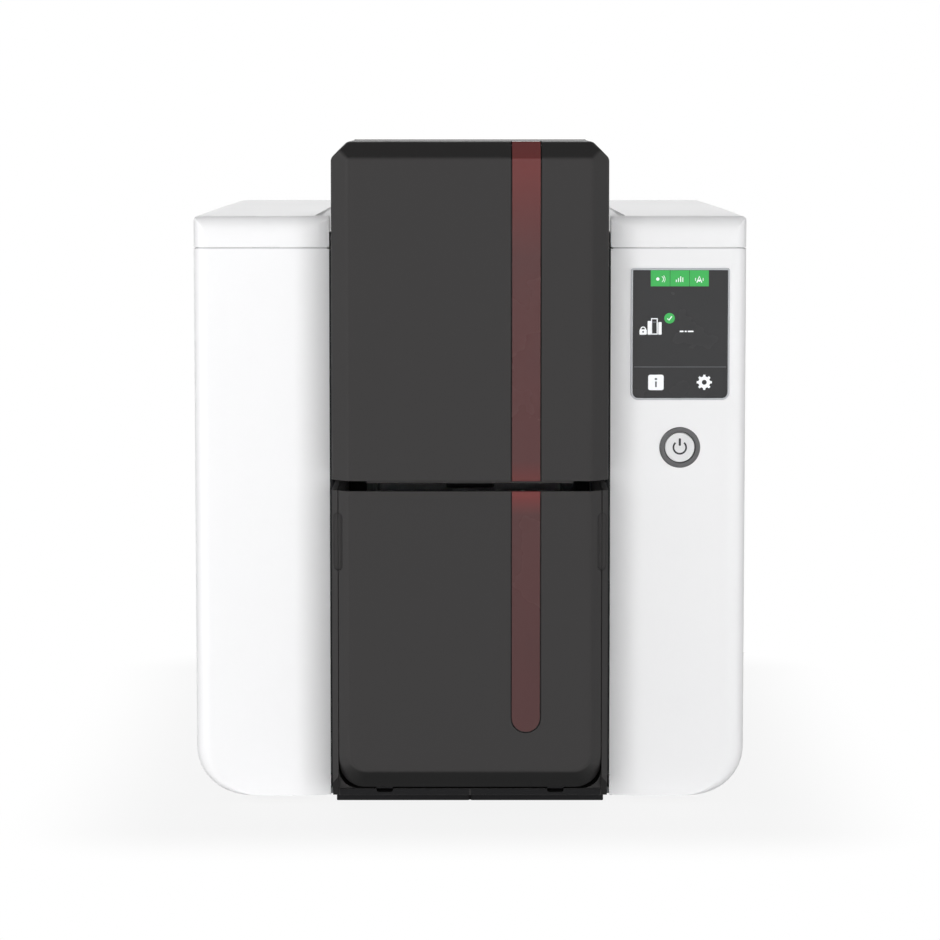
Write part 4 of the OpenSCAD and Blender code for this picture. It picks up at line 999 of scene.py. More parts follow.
WHITE = MouldedPlastic("white_case", shade(237, 237, 238), 0.42, 0.35, 0.5, 0.004, 0.015, 0.02)
# The seam tongue is greyer than the case, which paints shade into the seam under the lid.
SEAM_LIP = MouldedPlastic("seam_lip", shade(206, 206, 208), 0.55, 0.2, 0.5, 0.004, 0.02, 0.0)
WHITE_CAP = MouldedPlastic("white_cap", shade(222, 222, 223), 0.36, 0.4, 0.3, 0.003, 0.01, 0.01)
SCREEN_FRAME = MouldedPlastic("screen_frame", shade(186, 188, 192), 0.4, 0.4, 0.3, 0.002, 0.01, 0.0)
# The last two values are painted shade on the bevels that look up and down.
DARK = MouldedPlastic(
    "dark_cover", shade(52, 51, 51), 0.58, 0.14, 0.45, 0.008, 0.05, 0.012, 0.42, 0.05
)
BLACK = MouldedPlastic("black_plastic", shade(22, 22, 23), 0.6, 0.14, 0.5, 0.008, 0.06, 0.02)
LINER = MouldedPlastic("liner_black", shade(20, 20, 21), 0.6, 0.2, 0.5, 0.008, 0.06, 0.02)
GREY = MouldedPlastic("grey_plastic", shade(120, 122, 124), 0.5, 0.35, 0.5, 0.008, 0.04, 0.04)
RING = MouldedPlastic("button_ring", shade(85, 85, 86), 0.35, 0.5, 0.3, 0.003, 0.02, 0.0)
CERAMIC = MouldedPlastic("ceramic", shade(214, 208, 194), 0.25, 0.5, 0.2, 0.002, 0.03, 0.0)
BLUE_TACK = MouldedPlastic("cleaning_blue", shade(40, 98, 156), 0.38, 0.5, 0.2, 0.004, 0.05, 0.0)
INK = MouldedPlastic("symbol_ink", shade(52, 52, 56), 0.5, 0.3, 0.3, 0.001, 0.02, 0.0)
RUBBER = RubberSkin("rubber", shade(36, 36, 37))
STEEL_X = RolledMetal("steel_shaft", shade(196, 197, 199), 0.24, Axis.X)
STEEL = RolledMetal("steel_sheet", shade(186, 188, 190), 0.36, Axis.Z)
ALUMINIUM = RolledMetal("aluminium", shade(202, 204, 206), 0.34, Axis.Y)
BRASS = RolledMetal("brass", shade(206, 172, 98), 0.3, Axis.X)
# The second colour and the heights of each strip paint the light that leaks in at its ends.
DOOR_STRIP = SmokedStrip(
    "door_strip", shade(72, 44, 44), shade(92, 40, 39), ((0.238, 0.032), (0.122, 0.011))
)
HOPPER_STRIP = SmokedStrip(
    "hopper_strip", shade(68, 44, 44), shade(98, 44, 43), ((0.121, 0.0075),)
)
PANEL = ScreenPanel("screen_panel", shade(52, 52, 53))
LIT_GREEN = LitInk("lit_green", shade(70, 170, 90))
LIT_WHITE = LitInk("lit_white", shade(236, 238, 240))
DIM_LINE = LitInk("dim_line", shade(110, 112, 116), 0.05)
LACQUER = CircuitLacquer("board_lacquer")
FILM = PrintFilm("ribbon_film", -0.02, 0.1)
SUPPLY_WOUND = WoundFilm("supply_wound", 0.062, 0.166, 8 * MM, shade(30, 34, 60))
TAKEUP_WOUND = WoundFilm("takeup_wound", -0.036, 0.166, 8 * MM, shade(44, 36, 40))


# ------------------------------------------------------------ sub-assemblies


@dataclass(frozen=True)
class Assembly:
    """Part of the printer whose nodes keep their form and get soft edges and finishes.

    Attributes:
        name: Name of the sub-assembly.
        parts: Node, finish and edge rounding in metres of each piece.
    """

    name: str
    parts: tuple[tuple[str, Finish, float], ...]

    def build(self, bench: Bench) -> None:
        """Dresses the nodes of this sub-assembly."""
        log.info("building %s", self.name)
        for node, finish, edge in self.parts:
            bench.dress(node, finish, edge)


@dataclass(frozen=True)
class OuterForm:
    """Sizes of the printer's outer form, in metres, as the CAD part has them.

    Attributes:
        half_w: Half width of the case.
        nose_y: Place of the column's front.
        white_y: Place of the white front.
        back_y: Place of the rear.
        opening: Half width of the white front's opening.
        roll_w: Width of the roll along the opening.
        roll_d: Depth of the roll along the opening.
        wall: Wall of the white pieces.
        return_d: How far the opening's edge turns back.
        foot_h: Height of the case over the desk.
        seam_z: Height of the seam under the lid.
        seam_gap: Width of that seam.
        lid_top: Height of the lid's top at the rear.
        lid_h: Radius of the lid's rear edge.
        lid_rise: How much higher the lid's top is at the front.
        lower_r: Radius of the case's long lower edges.
        front_r: Radius of the case's upright front edges.
        column: Half width of the column.
        column_top: Height of the column.
        bevel: Width of the column's bevels.
        strip_x: Place of the red strip's middle.
        strip_w: Width of the strip.
        strip_t: Wall of the strip.
        strip_gap: Gap around the strip.
        cover_wall: Wall of the dark covers.
        drawer_half: Half width of the output hopper.
        notch: Lower end, upper end and width of the notches beside the hopper.
        notch_floor: Place of the notches' floor.
    """

    half_w: float = 102.5 * MM
    nose_y: float = -190.5 * MM
    white_y: float = -140.5 * MM
    back_y: float = 190.5 * MM
    opening: float = 52.15 * MM
    roll_w: float = 13 * MM
    roll_d: float = 2.2 * MM
    wall: float = 2.6 * MM
    return_d: float = 12 * MM
    foot_h: float = 2.5 * MM
    seam_z: float = 207 * MM
    seam_gap: float = 0.6 * MM
    lid_top: float = 217.5 * MM
    lid_h: float = 10.5 * MM
    lid_rise: float = 1.6 * MM
    lower_r: float = 18 * MM
    front_r: float = 6 * MM
    column: float = 49.8 * MM
    column_top: float = 247 * MM
    bevel: float = 6 * MM
    strip_x: float = 20.1 * MM
    strip_w: float = 10.2 * MM
    strip_t: float = 1.4 * MM
    strip_gap: float = 0.4 * MM
    cover_wall: float = 2.4 * MM
    drawer_half: float = 47.5 * MM
    notch: Point = (93 * MM, 114 * MM, 3.3 * MM)
    notch_floor: float = -184.9 * MM

    @property
    def lid_front_top(self) -> float:
        """Height of the lid's top over its front edge."""
        return self.lid_top + self.lid_rise

    @property
    def hinge_y(self) -> float:
        """Place of the lid's hinge from front to rear."""
        return self.back_y - self.lid_h

    def width_at(self, z: float) -> float:
        """Half width of the case at a height, with its round lower edges."""
        rise = min(z - self.foot_h, self.lower_r)
        fall = self.lower_r - rise
        return self.half_w - self.lower_r + math.sqrt(self.lower_r**2 - fall**2)

    def wing(self, width: float, inset: float = 0.0, steps: int = 14) -> list[Flat]:
        """Plan of one wing's outer face, from beside the column round to the rear.

        Args:
            width: Half width of the case at this height.
            inset: How far the line lies inside the outer face.
            steps: Pieces of the roll.

        Returns:
            Points from the return's rear edge to the rear panel.
        """
        front = self.white_y + inset
        inner = self.opening + inset
        line = [(inner, front + self.return_d)]
        for i in range(steps + 1):
            t = i / steps
            line.append((inner + self.roll_w * t, front + self.roll_d * (1 - t) ** 2))
        r = self.front_r - inset
        line += arc((width - inset - r, front + r), r, -90, 0, 10)
        return line + [(width - inset, 0.0), (width - inset, self.back_y)]

    def wing_area(self, inset: float = 0.0) -> list[Flat]:
        """Closed plan of one wing, from the opening's edge to the outer side."""
        line = self.wing(self.half_w, inset)[1:]
        return line + [(self.opening + inset, self.back_y)]


FORM = OuterForm()


def finger_notch(side: int) -> Solid:
    """Returns the tool for the notch between hopper and cheek on one side."""
    outline = pill(side * FORM.drawer_half, *FORM.notch)
    return prism(outline, Axis.Y, FORM.nose_y - OVER, FORM.notch_floor)


@dataclass(frozen=True)
class CaseShells:
    """The white side shells with the tongue that closes the seam under the lid.

    Attributes:
        form: Sizes of the outer form.
        foot_x: Half width at which the shells' lower edge ends.
        steps: Pieces of the round lower edge.
        levels: Heights of the rows of points between lower edge and seam.
        lobe_t: How far the recess for the lid's hinge goes in past the wall.
        lobe_gap: Clearance around the lid's hinge.
        screen_low: Lower corner of the screen's opening.
        screen_high: Upper corner of the screen's opening.
        screen_radii: Corner radii of the screen's opening.
        button: Middle of the power button's opening.
        button_r: Radius of the power button's opening.
        tongue_in: How far the tongue lies behind the shell's face.
        tongue_t: Wall of the tongue.
        edge: Rounding of the edges.
    """

    form: OuterForm = FORM
    foot_x: float = 80.4 * MM
    steps: int = 12
    levels: tuple[float, ...] = (40 * MM, 80 * MM, 120 * MM, 160 * MM)
    lobe_t: float = 3 * MM
    lobe_gap: float = 0.45 * MM
    screen_low: Flat = (59.5 * MM, 151.0 * MM)
    screen_high: Flat = (96.2 * MM, 200.0 * MM)
    screen_radii: tuple[float, ...] = (2.8 * MM, 2.8 * MM, 1.0 * MM, 1.0 * MM)
    button: Flat = (77.9 * MM, 133.4 * MM)
    button_r: float = 7.6 * MM
    tongue_in: float = 0.95 * MM
    tongue_t: float = 1.2 * MM
    edge: float = 0.35 * MM

    def build(self, bench: Bench) -> None:
        """Places both shells and their tongues."""
        log.info("building the side shells")
        right = self._shell()
        left = right.mirrored()
        self._open_for_controls(right)
        bench.place("left_shell", left.soften(self.edge, 2, 34), WHITE, "left_side_shell")
        bench.place("right_shell", right.soften(self.edge, 2, 34), WHITE, "right_side_shell")
        tongue = self._tongue()
        bench.place("seam_tongue_left", tongue.mirrored(), SEAM_LIP, "left_side_shell", False)
        bench.place("seam_tongue_right", tongue, SEAM_LIP, "right_side_shell", False)

    def _shell(self) -> Solid:
        """Returns the right shell with the recess for the lid's hinge."""
        form = self.form
        heights = [form.foot_h]
        for i in range(self.steps + 1):
            a = math.radians(90 * i / self.steps)
            heights.append(form.foot_h + form.lower_r * (1 - math.cos(a)))
        heights += [*self.levels, form.seam_z]
        rows = []
        for index, z in enumerate(heights):
            line = form.wing(form.width_at(z))
            if index == 0:
                line = [(min(x, self.foot_x), y) for x, y in line]
            rows.append([Vector((x, y, z)) for x, y in line])
        bm = skin(rows)
        bmesh.ops.remove_doubles(bm, verts=bm.verts, dist=1e-7)
        shell = Solid.from_bmesh(bm).thicken(form.wall)
        lobe = rod(
            form.half_w - form.wall - self.lobe_t, form.half_w + OVER, Axis.X,
            (form.hinge_y, form.seam_z), form.lid_h + self.lobe_gap,
        )
        return shell.minus(lobe)

    def _open_for_controls(self, shell: Solid) -> None:
        """Cuts the openings for the screen and the power button."""
        front, inner = self.form.white_y - OVER, self.form.white_y + self.form.wall + OVER
        window = soft_rect(self.screen_low, self.screen_high, self.screen_radii)
        shell.minus(
            prism(window, Axis.Y, front, inner),
            rod(front, inner, Axis.Y, self.button, self.button_r),
        )

    def _tongue(self) -> Solid:
        """Returns the right tongue, which follows the wing round to the lid's hinge."""
        form = self.form
        outer = form.wing(form.half_w, self.tongue_in)[1:-1]
        inner = form.wing(form.half_w, self.tongue_in + self.tongue_t)[1:-1]
        end = form.hinge_y - form.lid_h - 2 * MM
        outer.append((outer[-1][0], end))
        inner.append((inner[-1][0], end))
        top = form.seam_z + form.seam_gap - 0.12 * MM
        return prism(outer + inner[::-1], Axis.Z, form.seam_z - 0.2 * MM, top)


@dataclass(frozen=True)
class LidCover:
    """The white lid with its front roll, round rear edge and middle channel.

    Attributes:
        form: Sizes of the outer form.
        roll_r: Radius of the roll over the front edge.
        crease: Height of the roll over the top behind it.
        edge_r: Radius of the side edges.
        notch_y: Place of the lid's front edge over the opening.
        channel_end: Place of the channel's rear end.
        channel_d: Depth of the channel.
        channel_top: Half width of the channel at its upper edge.
        channel_foot: Half width of the channel at its floor.
        rear_lip: How far the rear edge reaches below the seam.
        ears_low: Lower corner of the block around the hinge ears of the CAD lid.
        ears_high: Upper corner of that block.
    """

    form: OuterForm = FORM
    roll_r: float = 8 * MM
    crease: float = 1.1 * MM
    edge_r: float = 2 * MM
    notch_y: float = -90.8 * MM
    channel_end: float = 81.7 * MM
    channel_d: float = 4.5 * MM
    channel_top: float = 57.65 * MM
    channel_foot: float = 53.15 * MM
    rear_lip: float = 7.5 * MM
    ears_low: Point = (-68.5 * MM, 165 * MM, 196 * MM)
    ears_high: Point = (68.5 * MM, 189 * MM, 216 * MM)

    def build(self, bench: Bench) -> None:
        """Places the lid."""
        log.info("building the lid")
        body = self._outer()
        cavity = self._cavity()
        channel = self._channel(0.0, self.channel_end)
        body.minus(cavity).minus(channel)
        ears = bench.copy("top_cover")
        ears.common(box(self.ears_low, self.ears_high))
        lid = body.soften(0.35 * MM, 2, 34).beside(ears.soften(0.2 * MM, 1, 40))
        bench.place("lid_cover", lid, WHITE, "top_cover")

    def _roll(self, inset: float) -> list[Flat]:
        """Points of the roll over the front edge, up to its crease with the top."""
        form = self.form
        r = self.roll_r - inset
        centre = (form.white_y + self.roll_r, form.lid_front_top + self.crease - self.roll_r)
        return arc(centre, r, 180, 180 - math.degrees(math.asin(1 - self.crease / r)), 14)

    def _profile(self) -> list[Flat]:
        """Returns the lid's section from front to rear, with its round rear edge."""
        form = self.form
        line = [(form.white_y, form.seam_z + form.seam_gap)] + self._roll(0.0)
        line += arc((form.hinge_y, form.seam_z), form.lid_h, 90, -90, 40)
        line += arc((form.hinge_y, form.seam_z), form.lid_h, 270, 177, 20)
        return line

    def _front(self) -> list[Flat]:
        """Returns the lid's outline from the front, with its round side edges."""
        form = self.form
        side, low, r = form.half_w, form.seam_z - 2 * form.lid_h, self.edge_r
        top = form.lid_front_top - r
        line = [(-side, low)] + arc((r - side, top), r, 180, 90, 10)
        return line + arc((side - r, top), r, 90, 0, 10) + [(side, low)]

    def _plan(self, inset: float) -> list[Flat]:
        """Returns the lid's outline from above, drawn in by an inset."""
        right = self.form.wing_area(inset)[:-1]
        left = [(-x, y) for x, y in right[::-1]]
        inner = self.form.opening + inset
        notch = self.notch_y + inset
        return left + [(-inner, notch), (inner, notch)] + right

    def _outer(self) -> Solid:
        """Returns the full block that the section, the front and the plan share."""
        form = self.form
        low, high = form.seam_z - 2 * form.lid_h, form.lid_front_top + OVER
        body = prism(self._profile(), Axis.X, -form.half_w - OVER, form.half_w + OVER)
        plan = [(x, y if y < form.back_y else y + OVER) for x, y in self._plan(0.0)]
        front = prism(self._front(), Axis.Y, form.white_y - OVER, form.back_y + OVER)
        return body.common(prism(plan, Axis.Z, low, high)).common(front)

    def _cavity(self) -> Solid:
        """Returns the hollow under the lid, with the channel's wall left standing."""
        form = self.form
        wall = form.wall
        deep = form.seam_z - 2 * form.lid_h
        section = [(form.white_y + wall, deep)] + self._roll(wall)
        section += arc((form.hinge_y, form.seam_z), form.lid_h - wall, 90, 0, 16)
        section += [
            (form.hinge_y + form.lid_h - wall, form.seam_z - self.rear_lip),
            (form.hinge_y + form.lid_h + OVER, form.seam_z - self.rear_lip),
            (form.hinge_y + form.lid_h + OVER, deep),
        ]
        side = form.half_w - wall
        plan = [
            (x, y if y < form.back_y else y + 2 * OVER) for x, y in self._plan(wall)
        ]
        cavity = prism(section, Axis.X, -side, side).common(
            prism(plan, Axis.Z, deep - OVER, form.lid_top + OVER)
        )
        return cavity.minus(self._channel(wall, self.channel_end + wall))

    def _channel(self, inset: float, end: float) -> Solid:
        """Returns the tool for the channel.

        Args:
            inset: Wall that is added around the channel.
            end: Place of the rear end.

        Returns:
            The channel's form, open at the top.
        """
        form = self.form
        top, foot = self.channel_top + inset, self.channel_foot + inset
        z = form.lid_top - self.channel_d - inset
        high = form.lid_front_top + OVER
        section = [(-foot, z), (foot, z), (top, form.lid_top), (top, high),
                   (-top, high), (-top, form.lid_top)]
        start = form.white_y + (self.roll_r if inset == 0.0 else -2 * OVER)
        return prism(section, Axis.Y, start, end)


@dataclass(frozen=True)
class FeederDoor:
    """The dark upper cover of the column with its smoked strip.

    Attributes:
        form: Sizes of the outer form.
        low_z: Height of the lower edge.
        skirt_y: Place of the sides' rear edge.
        hood_z: Height over which the sides reach back to the hinge.
        hinge: Place and height of the hinge.
        hinge_r: Radius of the sides around the hinge.
        spare: How far the raw block runs past the cover.
        rear_cut: Reach behind the hinge of the cut that opens the rear.
        hood_cut: Reach around the hinge of the cut that clears the feeder.
        strip_run: Length of the strip on the top.
        slot_run: Length of the strip's seat on the top.
        light_half: Half width of the opening behind the strip.
        light_low: Distance from the lower edge to that opening.
        light_top: Distance from the top to that opening.
        boss_x: Place of the bosses' inner end.
        boss_r: Radius of the hinge bosses.
        bore_r: Radius of their bores.
        block_edge: Rounding of the column's outer edges.
        edge: Rounding of all other edges.
    """

    form: OuterForm = FORM
    low_z: float = 125.7 * MM
    skirt_y: float = -143.5 * MM
    hood_z: float = 219 * MM
    hinge: Flat = (-103 * MM, 239 * MM)
    hinge_r: float = 8 * MM
    spare: float = 8 * MM
    rear_cut: Flat = (6 * MM, 16 * MM)
    hood_cut: Flat = (-6 * MM, 6.5 * MM)
    strip_run: float = 15.6 * MM
    slot_run: float = 16 * MM
    light_half: float = 4.1 * MM
    light_low: float = 3 * MM
    light_top: float = 8 * MM
    boss_x: float = 43.4 * MM
    boss_r: float = 4.4 * MM
    bore_r: float = 2.3 * MM
    block_edge: float = 1.0 * MM
    edge: float = 0.22 * MM

    def build(self, bench: Bench) -> None:
        """Places the door, its hinge bosses and its strip."""
        log.info("building the feeder door")
        cover = self._cover().soften(self.edge, 2, 30)
        bench.place("door_cover", cover, DARK, "feeder_door")
        bosses = self._boss(-1).beside(self._boss(1))
        bench.place("door_bosses", bosses, DARK, "feeder_door", False)
        strip = self._strip(self.form.strip_w / 2, self.low_z, self.strip_run, 0.0)
        bench.place("door_strip_window", strip.soften(0.2 * MM, 2, 30), DOOR_STRIP,
                    "door_window")

    def _cover(self) -> Solid:
        """Returns the hollow cover with the strip's seat."""
        form = self.form
        wall, low, top = form.cover_wall, self.low_z, form.column_top
        y, z = self.hinge
        rear = y + self.hinge_r + self.spare
        body = self._column(0.0, low - self.spare, top, rear).soften(self.block_edge, 4, 20)
        body.common(prism(self._side(0.0), Axis.X, -SPAN, SPAN))
        cavity = self._column(wall, low - self.spare - OVER, top, rear)
        cavity.common(prism(self._side(wall), Axis.X, -SPAN, SPAN))
        inner = form.column - wall
        return body.minus(
            cavity,
            box((-inner, y + self.rear_cut[0], self.hood_z),
                (inner, y + self.rear_cut[1], top + OVER)),
            box((-inner, y + self.hood_cut[0], self.hood_z - OVER),
                (inner, y + self.hood_cut[1], z)),
            self._strip(form.strip_w / 2 + form.strip_gap, low - OVER, self.slot_run, OVER),
            box((form.strip_x - self.light_half, form.nose_y - OVER, low + self.light_low),
                (form.strip_x + self.light_half, form.nose_y + wall + OVER,
                 top - self.light_top)),
        )

    def _boss(self, side: int) -> Solid:
        """Returns the hinge boss with its bore on one side."""
        outer = self.form.column - self.form.cover_wall / 2
        start, end = sorted((side * self.boss_x, side * outer))
        boss = rod(start, end, Axis.X, self.hinge, self.boss_r)
        boss.minus(rod(start - OVER, end + OVER, Axis.X, self.hinge, self.bore_r))
        return boss.soften(0.3 * MM, 2, 40)

    def _column(self, inset: float, z0: float, z1: float, y1: float) -> Solid:
        """Returns the bevelled column.

        Args:
            inset: How far the faces lie inside the column's own.
            z0: Height of the lower end.
            z1: Height of the column's top, before the inset.
            y1: Place of the rear end.

        Returns:
            The column with bevels at its front, top and sides.
        """
        form = self.form
        cut = form.bevel - inset * (2 - math.sqrt(2))
        w, y0, t = form.column - inset, form.nose_y + inset, z1 - inset
        plan = [(-w, y1), (-w, y0 + cut), (-w + cut, y0), (w - cut, y0), (w, y0 + cut), (w, y1)]
        front = [(-w, z0), (-w, t - cut), (-w + cut, t), (w - cut, t), (w, t - cut), (w, z0)]
        side = [(y0, z0), (y0, t - cut), (y0 + cut, t), (y1, t), (y1, z0)]
        body = prism(plan, Axis.Z, z0, t)
        body.common(prism(front, Axis.Y, y0 - OVER, y1 + OVER))
        return body.common(prism(side, Axis.X, -w - OVER, w + OVER))

    def _side(self, inset: float) -> list[Flat]:
        """Returns the cover's outline from the side, drawn in by an inset."""
        far = self.form.nose_y - 2 * OVER
        top = self.form.column_top + 2 * OVER
        low = self.low_z - (0.0 if inset == 0 else 4 * OVER)
        y, z = self.hinge
        line = [(far, low), (self.skirt_y, low), (self.skirt_y, self.hood_z), (y, self.hood_z)]
        line += arc((y, z), self.hinge_r - inset, -90, 90, 24)
        return line + [(y, top), (far, top)]

    def _strip(self, half: float, low: float, run: float, over: float) -> Solid:
        """Returns the strip, which runs up the front and over the bevel.

        Args:
            half: Half width.
            low: Height of the lower end.
            run: Length on the top.
            over: How far it stands out of the column, or 0 for the strip itself.

        Returns:
            The strip, or the tool for its seat.
        """
        form = self.form
        y, top, b, t = form.nose_y, form.column_top, form.bevel, form.strip_t
        slack = t * (2 - math.sqrt(2))
        line = [
            (y - over, low), (y - over, top - b), (y + b, top + over), (y + run, top + over),
            (y + run, top - t), (y + b + slack / 2, top - t), (y + t, top - b - slack / 2),
            (y + t, low),
        ]
        if over:
            line[1:3] = [(y - over, top + over)]
        return prism(line, Axis.X, form.strip_x - half, form.strip_x + half)


@dataclass(frozen=True)
class OutputHopper:
    """The dark lower drawer with a raised face and its strip.

    Attributes:
        form: Sizes of the outer form.
        low_z: Height of the lower side.
        top_z: Height of the upper edge.
        rear_y: Place of the open rear.
        side_cut: Width of the bevels at the sides of the face.
        low_cut: Width of the bevel under the face.
        radii: Radii of the lower corners at the face, behind the side bevels, behind the
            lower bevel and at the rear.
        spare: How far the raw block runs past the upper edge.
        scoop_y: Places where the lowered rear part of the sides starts and is level.
        scoop_z: Height of that part.
        light_in: How much narrower than the strip the opening behind it is.
        light_top: Distance from the upper edge to that opening.
        strip_end: Height of the strip's lower end.
        runner_x: Inner and outer side of a runner.
        runner_y: Distance from the nose to a runner, and from a runner to the rear.
        runner_z: Height of a runner's lower side.
        block_edge: Rounding of the drawer's outer edges.
        edge: Rounding of all other edges.
    """

    form: OuterForm = FORM
    low_z: float = 13.4 * MM
    top_z: float = 122 * MM
    rear_y: float = -100.5 * MM
    side_cut: float = 3.7 * MM
    low_cut: float = 6.9 * MM
    radii: tuple[float, ...] = (6.5 * MM, 9.5 * MM, 9.5 * MM, 7 * MM)
    spare: float = 6 * MM
    scoop_y: Flat = (-138.7 * MM, -118.7 * MM)
    scoop_z: float = 104 * MM
    light_in: float = 1 * MM
    light_top: float = 3 * MM
    strip_end: float = 34.8 * MM
    runner_x: Flat = (28 * MM, 34 * MM)
    runner_y: Flat = (7.9 * MM, 4 * MM)
    runner_z: float = 12.8 * MM
    block_edge: float = 0.9 * MM
    edge: float = 0.22 * MM

    def build(self, bench: Bench) -> None:
        """Places the hopper, its runners and its strip."""
        log.info("building the output hopper")
        drawer = self._drawer().soften(self.edge, 2, 30)
        bench.place("hopper_drawer", drawer, DARK, "output_hopper")
        runners = self._runner(-1).beside(self._runner(1)).soften(0.25 * MM, 2, 40)
        bench.place("hopper_runners", runners, BLACK, "output_hopper", False)
        nose = self.form.nose_y
        strip = prism(self._pill(0.0, 0.0), Axis.Y, nose, nose + self.form.strip_t)
        bench.place("hopper_strip_window", strip.soften(0.2 * MM, 2, 40), HOPPER_STRIP,
                    "hopper_window")

    def _drawer(self) -> Solid:
        """Returns the hollow drawer with the strip's seat and its two notches."""
        form = self.form
        nose, wall, top, rear = form.nose_y, form.cover_wall, self.top_z, self.rear_y + OVER
        body = self._block(0.0, self.spare).soften(self.block_edge, 3, 18)
        body.minus(box((-SPAN, nose - OVER, top), (SPAN, rear, top + 1.5 * self.spare)))
        body.minus(self._block(wall, 2 * self.spare))
        scoop = [(self.scoop_y[0], top + OVER), (self.scoop_y[1], self.scoop_z),
                 (rear, self.scoop_z), (rear, top + OVER)]
        seat = self._pill(form.strip_gap, OVER)
        light = self._pill(-self.light_in, -self.light_top)
        return body.minus(
            prism(scoop, Axis.X, -SPAN, SPAN),
            prism(seat, Axis.Y, nose - OVER, nose + form.strip_t),
            prism(light, Axis.Y, nose - OVER, nose + wall + OVER),
            finger_notch(-1),
            finger_notch(1),
        )

    def _runner(self, side: int) -> Solid:
        """Returns the runner under the drawer on one side."""
        x0, x1 = sorted(side * x for x in self.runner_x)
        return box((x0, self.form.nose_y + self.runner_y[0], self.runner_z),
                   (x1, self.rear_y - self.runner_y[1], self.low_z + 0.1 * MM))

    def _ring(self, side: float, low: float, r: float, top: float) -> list[Flat]:
        """Returns one cross section of the drawer.

        Args:
            side: Half width.
            low: Height of the lower side.
            r: Radius of the lower corners.
            top: Height of the upper side.

        Returns:
            The outline's points.
        """
        line = arc((-side + r, low + r), r, 180, 270, 10)
        line += arc((side - r, low + r), r, 270, 360, 10)
        return line + [(side, top), (-side, top)]

    def _block(self, inset: float, above: float) -> Solid:
        """Returns the drawer's raw block.

        Args:
            inset: How far the faces lie inside the drawer's own.
            above: How far the block runs past the upper edge.

        Returns:
            The block with its bevels round the face.
        """
        shave = inset * (2 - math.sqrt(2))
        side, low = self.side_cut - shave, self.low_cut - shave
        y0, z0 = self.form.nose_y + inset, self.low_z + inset
        w, top = self.form.drawer_half - inset, self.top_z + above
        at_face, at_side, at_low, at_rear = (r - inset for r in self.radii)
        stations = [
            (y0, self._ring(w - side, z0 + low, at_face, top)),
            (y0 + side, self._ring(w, z0 + low - side, at_side, top)),
            (y0 + low, self._ring(w, z0, at_low, top)),
            (self.rear_y - inset, self._ring(w, z0, at_rear, top)),
        ]
        bm = bmesh.new()
        rings = [[bm.verts.new((x, y, z)) for x, z in ring] for y, ring in stations]
        for one, two in zip(rings, rings[1:]):
            bridge(bm, one, two)
        bm.faces.new(rings[0])
        bm.faces.new(rings[-1])
        return closed(bm)

    def _pill(self, grow: float, above: float) -> list[Flat]:
        """Returns the strip's outline from the front.

        Args:
            grow: How much wider it is on each side.
            above: How far it runs past the upper edge.

        Returns:
            The outline's points.
        """
        form = self.form
        r = form.strip_w / 2 + grow
        low = self.strip_end + form.strip_w / 2
        line = arc((form.strip_x, low), r, 180, 360, 20)
        top = self.top_z + above
        return line + [(form.strip_x + r, top), (form.strip_x - r, top)]


